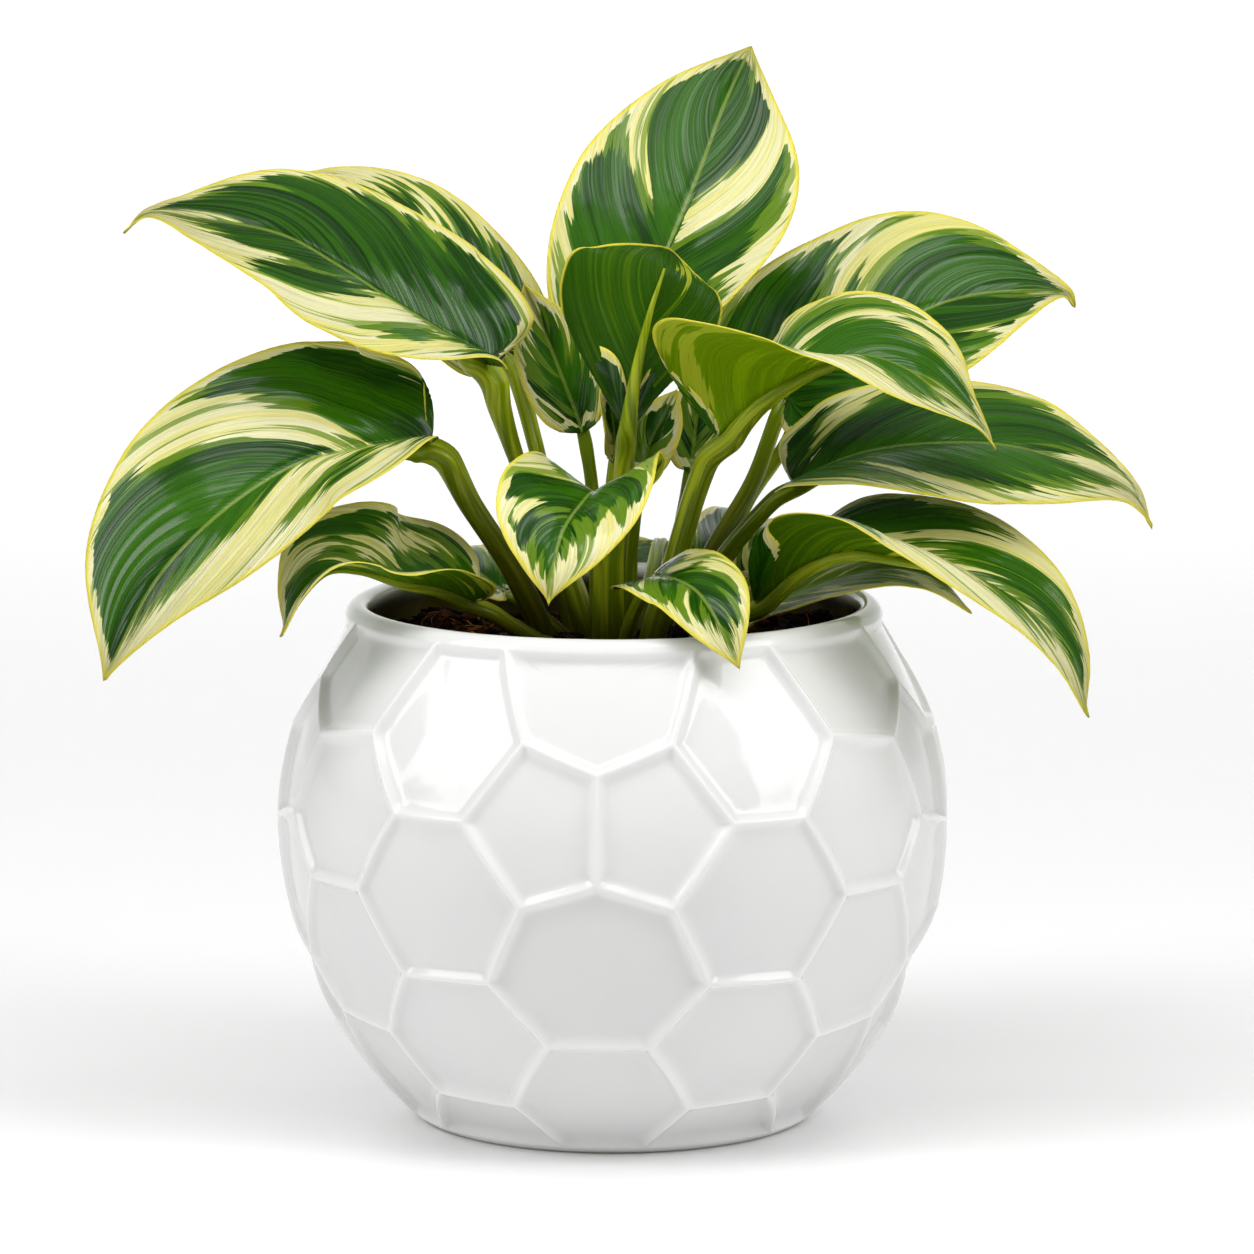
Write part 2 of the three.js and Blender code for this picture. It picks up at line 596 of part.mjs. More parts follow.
// Where the side vein that ends at outline value t leaves the rib.
function veinRoot(t) {
  return t <= firstVein ? 0 : ((t - firstVein) / (1 - firstVein)) ** veinSpread;
}

// A point of the flat blade: t along the outline and f from the rib to the margin along the vein.
function flatPoint(leaf, t, f) {
  const [x, y] = outlinePoint(leaf, t);
  const root = veinRoot(t);
  const bend = [root + veinBend.along * (x - root), veinBend.out * y];
  const u = 1 - f;
  return [u * u * root + 2 * u * f * bend[0] + f * f * x, 2 * u * f * bend[1] + f * f * y];
}

// Bends a flat point onto the leaf: up and over from the rib by the fold and the curl.
function bladePoint(leaf, run, side, t, f) {
  const reach = run.lengths[run.lengths.length - 1];
  const [x, y] = flatPoint(leaf, t, f);
  const half = leaf.half[side === "left" ? 0 : 1];
  const frame = bladeFrame(leaf, run, x * reach);
  const fold = curveThrough(leaf.fold[side], x) * radians;
  const curl = curveThrough(leaf.curl[side], x) * radians + 1e-4;
  const end = fold + curl * y;
  const across = ((Math.sin(end) - Math.sin(fold)) / curl) * half;
  const wave = leaf.ruffle * f * f * Math.sin(t * waveRate + half);
  const lift = ((Math.cos(fold) - Math.cos(end)) / curl) * half + wave;
  const sign = side === "left" ? -1 : 1;
  return frame.point.addScaledVector(frame.right, sign * across).addScaledVector(frame.up, lift);
}

// The middle surface of a blade as shared points and triangles.
function bladeSheet(leaf, run) {
  const columns = leaf.columns ?? bladeColumns;
  const points = [];
  const index = new Map();
  const faces = [];
  const vertex = (side, row, column) => {
    const [x, y] = flatPoint(leaf, row / bladeRows, column / columns);
    const key = `${y < 1e-6 ? "rib" : side} ${x.toFixed(5)} ${y.toFixed(5)}`;
    if (!index.has(key)) {
      index.set(key, points.length);
      points.push(bladePoint(leaf, run, side, row / bladeRows, column / columns));
    }
    return index.get(key);
  };
  ["left", "right"].forEach((side) => {
    for (let row = 0; row < bladeRows; row += 1) {
      for (let column = 0; column < columns; column += 1) {
        const a = vertex(side, row, column);
        const b = vertex(side, row + 1, column);
        const c = vertex(side, row + 1, column + 1);
        const d = vertex(side, row, column + 1);
        [[a, b, c], [a, c, d]].forEach((face) => {
          if (new Set(face).size === 3) {
            faces.push(side === "left" ? face : face.reverse());
          }
        });
      }
    }
  });
  return { points, faces };
}

// Thickens a sheet: the same triangles on both faces and a wall round the free edge.
function thicken({ points, faces }, thickness) {
  const normals = points.map(() => new THREE.Vector3());
  faces.forEach(([a, b, c]) => {
    const normal = points[b].clone().sub(points[a]).cross(points[c].clone().sub(points[a]));
    [a, b, c].forEach((i) => normals[i].add(normal));
  });
  const shift = (i, way) => points[i].clone().addScaledVector(normals[i], way * thickness / 2);
  normals.forEach((normal) => normal.normalize());
  const triangles = [];
  const edges = new Map();
  faces.forEach((face) => {
    addTriangle(triangles, ...face.map((i) => shift(i, 1)));
    addTriangle(triangles, ...face.slice().reverse().map((i) => shift(i, -1)));
    face.forEach((i, k) => edges.set(`${i} ${face[(k + 1) % 3]}`, [i, face[(k + 1) % 3]]));
  });
  edges.forEach(([i, j]) => {
    if (!edges.has(`${j} ${i}`)) {
      addTriangle(triangles, shift(j, 1), shift(i, 1), shift(i, -1));
      addTriangle(triangles, shift(j, 1), shift(i, -1), shift(j, -1));
    }
  });
  return triangleGeometry(triangles);
}

// A closed tube through round sections.
function tubeGeometry(sections, sides) {
  const loops = sections.map(({ point, up, right, radius }) =>
    Array.from({ length: sides }, (_, i) => {
      const turn = (i / sides) * 2 * Math.PI;
      return point
        .clone()
        .addScaledVector(right, radius * Math.cos(turn))
        .addScaledVector(up, radius * Math.sin(turn));
    })
  );
  const triangles = [];
  loops.slice(1).forEach((loop, i) => {
    addStrip(triangles, loops[i].slice().reverse(), loop.slice().reverse());
  });
  addFan(triangles, loops[0], sections[0].point);
  addFan(triangles, loops[loops.length - 1].slice().reverse(), sections[sections.length - 1].point);
  return triangleGeometry(triangles);
}

function smooth(from, to, value) {
  return THREE.MathUtils.smoothstep(value, from, to);
}

// The lengths at which the stem, and the rib that carries on under the blade, have a section.
function stemStops(run) {
  const reach = run.lengths[run.lengths.length - 1];
  const foot = run.lengths[0];
  const stops = Array.from({ length: stemSteps + 1 }, (_, i) => foot * (1 - i / stemSteps));
  for (let row = 1; row < bladeRows && veinRoot(row / bladeRows) < ribEnd; row += 1) {
    const length = veinRoot(row / bladeRows) * reach;
    if (length > stops[stops.length - 1]) {
      stops.push(length);
    }
  }
  return stops;
}

// The frames of the sections: below the blade each one turns on from the frame above it.
function stemFrames(leaf, run) {
  const frames = stemStops(run).map((length) => ({
    ...bladeFrame(leaf, run, length),
    ...spineAt(run, length),
    length,
  }));
  for (let i = stemSteps - 1; i >= 0; i -= 1) {
    const { along } = frames[i];
    const up = frames[i + 1].up.clone();
    up.addScaledVector(along, -up.dot(along)).normalize();
    frames[i].up = up;
    frames[i].right = along.clone().cross(up);
  }
  return frames;
}

function stemRadius(leaf, run, length) {
  const [thick, thin] = leaf.stem;
  if (length < 0) {
    return thin + (thick - thin) * (length / run.lengths[0]);
  }
  const reach = run.lengths[run.lengths.length - 1];
  return thin + (ribEndRadius - thin) * Math.min(1, length / (ribEnd * reach));
}

// The round sections of the stem and rib. They sink under the blade and leave a low rib on top.
function stemSections(leaf, run, extra) {
  return stemFrames(leaf, run).map(({ point, up, right, length }) => {
    const radius = stemRadius(leaf, run, length) + extra;
    const sink = (radius - ribRise) * smooth(sinkStart, sinkEnd, length);
    return { point: point.clone().addScaledVector(up, -sink), up, right, radius };
  });
}

function leafGeometry(leaf) {
  const run = spineRun(leaf);
  const blade = toSolid(thicken(bladeSheet(leaf, run), bladeThickness));
  const stem = toSolid(tubeGeometry(stemSections(leaf, run, 0), stemSides));
  return toGeometry(blade.add(stem));
}

// The tube that a stem's buried part clears in the soil.
function holeGeometry(leaf) {
  const sections = stemSections(leaf, spineRun(leaf), holeClearance).slice(0, stemSteps + 1);
  const inSoil = sections.filter(({ point }) => point.z < holeTop).length;
  const kept = sections.slice(0, inSoil + 1);
  kept[0].point.z -= holeClearance;
  return tubeGeometry(kept, stemSides);
}

// The height of the soil's lumpy, mounded top.
function soilHeight(x, y) {
  const rise = (soilCrown - soilEdge) * (1 - (x * x + y * y) / cavityProfile[1][0] ** 2);
  const across = Math.sin(x * soilWaves.x + soilWaves.shift);
  const back = Math.cos(y * soilWaves.y + x * soilWaves.skew);
  return soilEdge + rise + soilLump * across * back;
}

function soilGeometry() {
  const angles = ringAngles(["rim1", "rim2", "rim3"]);
  const [[upperRadius, upperZ], [lowerRadius, lowerZ]] = cavityProfile;
  const f = (soilEdge - lowerZ) / (upperZ - lowerZ);
  const edgeRadius = lowerRadius + (upperRadius - lowerRadius) * f - soilGap;
  const walls = cavityProfile.slice(1).map(([r, z]) => [r - soilGap, z]);
  const side = [[edgeRadius, soilEdge], ...walls];
  const floorZ = cavityFloor + soilGap;
  side[side.length - 1][1] = floorZ + soilFloorRound;
  const sideLoops = side.map(([r, z]) => ringLoop(angles, r, z)).reverse();
  const topLoops = Array.from({ length: soilRings - 1 }, (_, i) => {
    const loop = ringLoop(angles, edgeRadius * (1 - (i + 1) / soilRings), 0);
    return loop.map((p) => new THREE.Vector3(p.x, p.y, soilHeight(p.x, p.y)));
  });
  const loops = [...sideLoops, ...topLoops];
  const triangles = [];
  addFan(triangles, loops[0].slice().reverse(), new THREE.Vector3(0, 0, floorZ));
  loops.slice(1).forEach((loop, i) => addStrip(triangles, loops[i], loop));
  addFan(triangles, loops[loops.length - 1], new THREE.Vector3(0, 0, soilHeight(0, 0)));
  const holes = Object.values(leaves).map((leaf) => toSolid(holeGeometry(leaf)));
  const whole = toSolid(triangleGeometry(triangles));
  return toGeometry(holes.reduce((solid, hole) => solid.subtract(hole), whole));
}

const materials = {
  glaze: { color: "#f1f1ef", roughness: 0.12, metalness: 0 },
  soil: { color: "#2b1a10", roughness: 0.95, metalness: 0 },
  leaf: { color: "#3f7a2c", roughness: 0.35, metalness: 0 },
};

function addPiece(group, name, geometry, finish) {
  const mesh = new THREE.Mesh(geometry, new THREE.MeshStandardMaterial(materials[finish]));
  mesh.name = name;
  group.add(mesh);
}

const plant = new THREE.Group();
addPiece(plant, "pot", potGeometry(), "glaze");
addPiece(plant, "soil", soilGeometry(), "soil");
Object.entries(leaves).forEach(([name, leaf]) => addPiece(plant, name, leafGeometry(leaf), "leaf"));

export default plant;
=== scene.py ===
"""Looks for a potted variegated pothos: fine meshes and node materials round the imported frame.

Lengths in the tables are millimetres in the frame of the pot: the origin is the middle of its flat
base, +Z is up and -Y is the front. Blender objects are in metres.
"""

import itertools
import math

import bpy
import numpy as np
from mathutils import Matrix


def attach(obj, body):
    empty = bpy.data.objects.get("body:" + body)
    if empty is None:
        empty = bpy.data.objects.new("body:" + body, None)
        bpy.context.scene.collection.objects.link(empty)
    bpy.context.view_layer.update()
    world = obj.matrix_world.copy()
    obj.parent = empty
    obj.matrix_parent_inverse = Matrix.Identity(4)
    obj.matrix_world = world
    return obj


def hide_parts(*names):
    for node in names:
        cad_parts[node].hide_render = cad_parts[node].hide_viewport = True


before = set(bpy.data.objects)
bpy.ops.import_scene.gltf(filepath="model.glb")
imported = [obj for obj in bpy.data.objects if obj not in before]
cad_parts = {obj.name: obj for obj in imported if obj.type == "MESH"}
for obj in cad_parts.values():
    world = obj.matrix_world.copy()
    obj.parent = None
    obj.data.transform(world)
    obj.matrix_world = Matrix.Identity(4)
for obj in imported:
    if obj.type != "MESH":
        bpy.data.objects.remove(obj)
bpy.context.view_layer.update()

bl_info = {
    "name": "Potted pothos",
    "version": (1, 0, 0),
    "blender": (4, 5, 0),
    "location": "3D View > Sidebar > Pothos",
    "description": "Builds the looks of a variegated pothos in a glazed pot with a net of ridges",
    "category": "Object",
}

MM = 0.001
FULL_TURN = 2 * math.pi
TINY = 1e-12


def srgb(red, green, blue):
    """Display values from 0 to 255 as the linear colour that a socket takes."""
    parts = (red / 255, green / 255, blue / 255)
    return tuple(p / 12.92 if p <= 0.04045 else ((p + 0.055) / 1.055) ** 2.4 for p in parts)


def smooth(low, high, value):
    """A soft step from 0 at low to 1 at high."""
    t = np.clip((np.asarray(value, float) - low) / (high - low), 0, 1)
    return t * t * (3 - 2 * t)


def bell(value, width):
    """1 at zero, falling softly to both sides over the width."""
    return np.exp(-(value / width) ** 2)


def unit(vectors):
    """The same directions with length 1."""
    length = np.linalg.norm(vectors, axis=-1, keepdims=True)
    return vectors / np.maximum(length, TINY)


def wobble(x, y, seed, octaves=3):
    """Smooth noise from -1 to 1 at each place, made of crossing waves, the same on each run."""
    random = np.random.default_rng(seed)
    waves, finer = 4, 1.9
    total = np.zeros(np.broadcast(x, y).shape)
    weight = 0.0
    for octave in range(octaves):
        size = finer ** octave
        for _ in range(waves):
            turn, phase = random.uniform(0, FULL_TURN, 2)
            along = x * math.cos(turn) + y * math.sin(turn)
            total += np.sin(along * size + phase) / size
            weight += 0.5 / size
    return total / weight


# Each leaf has the form of its solid. The order of the table sets the seeds of the markings.
#   spine   points of the middle line, up the petiole from the top of the mix and along the rib
#   blade   which of them, counted from 0, is the blade's base
#   half    half width of the blade, left and right of the rib
#   stem    radius of the petiole at its foot and at the blade
#   ruffle  height of the waves in the blade's edge
#   lobe, widest   how far behind the base the lobes reach and how far before it the blade is
#           widest, as shares of the rib
#   point   how full the blade still is near its tip
#   face    direction of the upper side at the base, the middle and the tip
#   fold    degrees that the left and the right half rise from the rib, at base, middle and tip
#   curl    degrees more by which they bend up towards the edge
#   brown   height over which the brown of the petiole's foot fades
#   flare   how much wider the petiole gets under the blade
#   tone    how much lighter a green the blade and its underside have
#   lit     how much of the blade is washed light green and dull
PLAIN_LEAF = dict(widest=0.42, curl=((0, 0, 0), (0, 0, 0)), brown=16, flare=0, tone=0, lit=0)
LEAVES = {
    "leaf_top": dict(
        spine=[(3, 6, 103), (2, 8, 123), (4, 10, 150), (6, 13, 173), (10, 18, 187), (19, 30, 208),
            (25, 40, 223), (31, 48, 235)],
        blade=3, half=(26.5, 25), stem=(2.6, 1.8), ruffle=0.6, lobe=0.05, widest=0.38, point=0.38,
        face=[(-0.1, -0.9, 0.4), (-0.1, -0.85, 0.5), (0, -0.8, 0.6)],
        fold=((10, 5, 5), (45, 5, 0)), curl=((5, 5, 0), (0, 0, 0)),
    ),
    "leaf_upper_left": dict(
        spine=[(-6, -2, 105), (-12, -4, 125), (-20, -6, 144), (-25, -8, 159), (-28, -9, 170),
            (-38, -11, 177), (-50, -14, 185), (-60, -17, 192), (-72, -20, 199), (-90, -24, 203),
            (-101, -26, 204), (-106, -27, 200)],
        blade=4, half=(23, 26), stem=(2.2, 1.5), ruffle=0.6, lobe=0.02, widest=0.34, point=0.04,
        face=[(0.4, -0.7, 0.6), (0.2, -0.6, 0.77), (0, -0.5, 0.85)],
        fold=((65, 2, 0), (15, 5, 5)), curl=((-20, 0, 0), (-10, -10, 0)), flare=1.7,
    ),
    "leaf_centre": dict(
        spine=[(0, -6, 105), (0, -8, 126), (2, -10, 144), (3, -11, 155), (5, -14, 169),
            (8, -15, 182), (11, -13, 191), (12, -9, 195)],
        blade=3, half=(16.5, 21), stem=(2.6, 2.1), ruffle=0.3, lobe=-0.4, widest=0.72, point=0.75,
        face=[(0, 1, 0.1), (0, 1, 0.2), (0, 0.9, 0.4)],
        fold=((30, 10, 10), (30, 10, 10)), curl=((0, 10, 20), (0, 10, 20)),
    ),
    "leaf_upper_right": dict(
        spine=[(14, 8, 103), (21, 11, 123), (31, 15, 140), (39, 20, 159), (47, 24, 166),
            (57, 26, 171), (75, 30, 179), (89, 33, 181), (102, 35, 180), (104, 35, 177)],
        blade=3, half=(28, 23), stem=(2.4, 1.7), ruffle=0.6, lobe=0.12, widest=0.45, point=0.08,
        face=[(-0.2, -0.8, 0.5), (-0.1, -0.7, 0.7), (0, -0.6, 0.8)],
        fold=((15, 10, 5), (15, 10, 5)), brown=55,
    ),
    "leaf_right_folded": dict(
        spine=[(8, -8, 105), (13, -9, 124), (18, -11, 142), (23, -13, 154), (30, -16, 162),
            (37, -19, 167), (45, -21, 171), (54, -23, 173), (64, -25, 170), (73, -27, 163),
            (80, -28, 157), (83, -29, 153)],
        blade=3, half=(20, 35), stem=(3.2, 2.5), ruffle=0.4, lobe=-0.06, widest=0.4, point=0.22,
        face=[(-0.7, -0.1, 0.7), (0, -0.5, 0.85), (0.5, -0.5, 0.7)],
        fold=((-5, 8, 0), (112, 34, 38)), tone=0.62, flare=0.25,
    ),
    "leaf_right": dict(
        spine=[(17, 2, 104), (22, 0, 121), (31, -4, 134), (40, -7, 143), (47, -9, 147),
            (55, -10, 150), (67, -11, 152), (85, -12, 152), (98, -14, 149), (113, -16, 142),
            (118, -17, 134)],
        blade=3, half=(21, 23), stem=(2.6, 1.8), ruffle=0.6, lobe=0.02, point=0.06,
        face=[(-0.1, -0.5, 0.85), (0, -0.45, 0.9), (0.3, -0.5, 0.8)],
        fold=((15, 8, 5), (40, 5, 0)), curl=((-10, 0, 0), (-10, -10, 0)), brown=28, tone=0.06,
    ),
    "leaf_lower_right": dict(
        spine=[(16, -12, 105), (22, -15, 111), (31, -19, 118), (41, -23, 127), (51, -27, 131),
            (62, -30, 130), (75, -33, 127), (90, -36, 119), (99, -38, 108), (103, -40, 96)],
        blade=2, half=(20, 24), stem=(2.6, 2), ruffle=0.6, lobe=-0.15, point=0.2,
        face=[(-0.5, -0.3, 0.8), (0.1, -0.35, 0.9), (0.6, -0.5, 0.6)],
        fold=((-10, 15, 10), (90, 46, 0)), curl=((0, 0, 0), (0, -45, 0)), tone=0.16,
    ),
    "leaf_low_right": dict(
        spine=[(17, -5, 104), (22, -5, 107), (30, -5, 114), (39, -6, 118), (50, -7, 122),
            (61, -8, 124), (70, -9, 122), (79, -9, 114)],
        blade=2, half=(9, 14), stem=(1.8, 1.3), ruffle=0.4, lobe=0.1, widest=0.4, point=0.2,
        face=[(-0.1, -0.3, 0.9), (0, -0.25, 0.95), (0.4, -0.2, 0.9)],
        fold=((10, 5, 0), (10, 5, 0)), lit=0.75,
    ),
    "leaf_left": dict(
        spine=[(-15, -6, 105), (-21, -12, 122), (-31, -18, 139), (-40, -23, 154), (-50, -27, 154),
            (-58, -30, 153), (-67, -32, 151), (-77, -35, 146), (-89, -39, 137), (-99, -42, 126),
            (-110, -46, 105)],
        blade=3, half=(18, 30), stem=(3, 2.2), ruffle=0.6, lobe=-0.02, point=0.25,
        face=[(0.1, -0.6, 0.8), (-0.2, -0.7, 0.7), (-0.5, -0.8, 0.4)],
        fold=((55, -5, 0), (28, 8, 5)), curl=((-10, 0, 0), (0, 0, 0)), brown=60, flare=0.9,
    ),
    "leaf_lower_left": dict(
        spine=[(-12, -14, 106), (-17, -16, 109), (-24, -20, 114), (-30, -24, 119), (-38, -28, 123),
            (-46, -32, 125), (-55, -35, 128), (-62, -38, 128), (-68, -40, 122), (-72, -42, 114)],
        blade=3, half=(14, 19), stem=(2.2, 1.7), ruffle=0.4, lobe=0, point=0.2,
        face=[(0.1, -0.6, 0.8), (-0.2, -0.55, 0.8), (-0.8, -0.3, 0.5)],
        fold=((75, 50, 20), (10, 10, 10)), curl=((-20, -20, 0), (0, 0, 0)), brown=24, tone=0.12,
    ),
    "leaf_low_left": dict(
        spine=[(-9, 1, 104), (-15, 1, 111), (-21, 3, 115), (-25, 6, 117), (-30, 11, 120),
            (-35, 19, 121), (-40, 28, 120), (-45, 37, 117)],
        blade=3, half=(9, 9), stem=(1.8, 1.3), ruffle=0.4, lobe=0.1, point=0.3,
        face=[(0.3, -0.6, 0.8), (0, -0.4, 0.9), (-0.3, -0.2, 0.9)],
        fold=((10, 10, 10), (10, 10, 10)),
    ),
    "leaf_front": dict(
        spine=[(-3, -14, 106), (-3, -17, 120), (-3, -21, 134), (-4, -26, 143), (-7, -35, 142),
            (-11, -43, 137), (-13, -48, 130), (-14, -50, 122)],
        blade=3, half=(19, 18), stem=(2, 1.5), ruffle=0.4, lobe=0.24, widest=0.3, point=0.1,
        face=[(0, -0.5, 0.85), (0, -0.75, 0.65), (0, -0.95, 0.3)],
        fold=((40, 25, 10), (15, 10, 10)), curl=((10, 0, 0), (10, 0, 0)),
    ),
    "leaf_front_right": dict(
        spine=[(2, -16, 106), (4, -22, 115), (7, -29, 122), (9, -36, 126), (13, -44, 127),
            (18, -50, 125), (22, -56, 120), (27, -61, 110)],
        blade=3, half=(11, 12), stem=(1.8, 1.3), ruffle=0.3, lobe=0.18, widest=0.35, point=0.22,
        face=[(-0.1, -0.5, 0.85), (0.1, -0.65, 0.75), (0.3, -0.9, 0.4)],
        fold=((15, 10, 10), (15, 10, 10)),
    ),
    "leaf_behind_left": dict(
        spine=[(-9, 8, 103), (-13, 12, 127), (-18, 15, 150), (-24, 18, 169), (-33, 24, 183),
            (-48, 31, 197), (-62, 37, 203), (-77, 42, 205)],
        blade=3, half=(22, 16), stem=(2.2, 1.6), ruffle=0.6, lobe=0.05, point=0.2,
        face=[(0.3, -0.8, 0.5), (0.2, -0.7, 0.7), (0, -0.5, 0.85)],
        fold=((10, 5, 5), (10, 5, 5)), curl=((0, 0, 0), (-10, -10, 0)), brown=45, flare=0.4,
    ),
    "leaf_inner_left": dict(
        spine=[(-4, 2, 104), (-4, 2, 124), (-5, 2, 142), (-7, 2, 153), (-11, 3, 164), (-15, 5, 174),
            (-20, 5, 186)],
        blade=3, half=(9, 9), stem=(1.8, 1.4), ruffle=0.3, lobe=-0.05, point=0.3,
        face=[(-0.2, -0.95, 0.3), (-0.2, -0.95, 0.3), (-0.2, -0.95, 0.3)],
        fold=((15, 10, 10), (15, 10, 10)),
    ),
    "leaf_bud": dict(
        spine=[(-2, -1, 104), (-2, -2, 125), (-1, -3, 138), (0, -3, 147), (0, -3, 154),
            (-1, -3, 161), (-2, -3, 166)],
        blade=3, half=(5, 5), stem=(1.5, 1.2), ruffle=0, lobe=-0.1, widest=0.45, point=0.3,
        face=[(0, -1, 0.1), (0, -1, 0.1), (0, -1, 0.1)],
        fold=((30, 35, 30), (30, 35, 30)), curl=((60, 60, 40), (60, 60, 40)),
    ),
    "leaf_small_centre": dict(
        spine=[(4, 0, 104), (4, 0, 125), (5, -1, 136), (6, -1, 144), (8, -1, 151), (11, -1, 157),
            (14, -1, 163)],
        blade=3, half=(6, 6.5), stem=(1.5, 1.2), ruffle=0.2, lobe=-0.03, point=0.3,
        face=[(-0.2, -0.9, 0.3), (-0.2, -0.9, 0.3), (-0.2, -0.9, 0.3)],
        fold=((15, 10, 10), (15, 10, 10)),
    ),
    "leaf_small_right": dict(
        spine=[(9, 2, 104), (13, 4, 122), (15, 5, 134), (17, 5, 144), (18, 6, 153), (19, 7, 161),
            (19, 8, 168)],
        blade=3, half=(7, 7), stem=(1.6, 1.2), ruffle=0.2, lobe=-0.03, point=0.3,
        face=[(0.2, -0.95, 0.2), (0.2, -0.95, 0.2), (0.2, -0.95, 0.2)],
        fold=((15, 10, 10), (15, 10, 10)),
    ),
    "leaf_back_small": dict(
        spine=[(10, 15, 103), (14, 19, 111), (18, 25, 116), (20, 31, 120), (23, 38, 123),
            (26, 48, 125), (28, 58, 127), (31, 68, 125)],
        blade=3, half=(8, 8), stem=(1.6, 1.2), ruffle=0.3, lobe=0.05, point=0.3,
        face=[(0, -0.8, 0.6), (0, -0.5, 0.85), (0.2, -0.2, 0.95)],
        fold=((10, 10, 10), (10, 10, 10)),
    ),
    "leaf_back_right_low": dict(
        spine=[(20, 8, 103), (24, 12, 108), (28, 16, 113), (32, 20, 118), (37, 26, 123),
            (43, 33, 124), (50, 41, 122), (55, 47, 115)],
        blade=3, half=(10, 12), stem=(1.8, 1.3), ruffle=0.3, lobe=0.06, point=0.3,
        face=[(-0.1, -0.6, 0.8), (0.1, -0.4, 0.9), (0.5, -0.2, 0.8)],
        fold=((10, 10, 10), (30, 20, 10)), curl=((0, 0, 0), (-30, -20, 0)),
    ),
    "leaf_back_right": dict(
        spine=[(18, 17, 103), (22, 19, 118), (30, 22, 135), (40, 27, 150), (40, 36, 159),
            (49, 50, 163), (57, 64, 163), (63, 78, 159), (67, 90, 153)],
        blade=4, half=(19, 19), stem=(2, 1.5), ruffle=0.5, lobe=0.06, point=0.2,
        face=[(0.1, -0.2, 1), (0.2, 0.1, 1), (0.5, 0.5, 0.7)],
        fold=((10, 10, 5), (10, 10, 5)),
    ),
    "leaf_back": dict(
        spine=[(6, 12, 103), (7, 20, 111), (9, 32, 118), (10, 44, 121), (11, 57, 120),
            (12, 70, 115), (12, 82, 108), (13, 92, 98), (14, 98, 85)],
        blade=4, half=(15, 15), stem=(2.2, 1.6), ruffle=0.5, lobe=0, widest=0.4, point=0.2,
        face=[(0, 0.1, 1), (0, 0.5, 0.9), (0, 0.9, 0.4)],
        fold=((10, 10, 5), (10, 10, 5)),
    ),
    "leaf_back_left": dict(
        spine=[(-5, 12, 103), (-7, 18, 112), (-10, 30, 118), (-13, 43, 120), (-17, 55, 120),
            (-22, 66, 115), (-27, 76, 108), (-31, 83, 99), (-33, 88, 88)],
        blade=4, half=(14, 14), stem=(2, 1.5), ruffle=0.5, lobe=0.04, point=0.2,
        face=[(-0.1, 0.1, 1), (-0.3, 0.5, 0.8), (-0.4, 0.9, 0.4)],
        fold=((10, 10, 5), (10, 10, 5)),
    ),
}

PALE, GREEN = "pale", "green"
LEFT, RIGHT = 0, 1

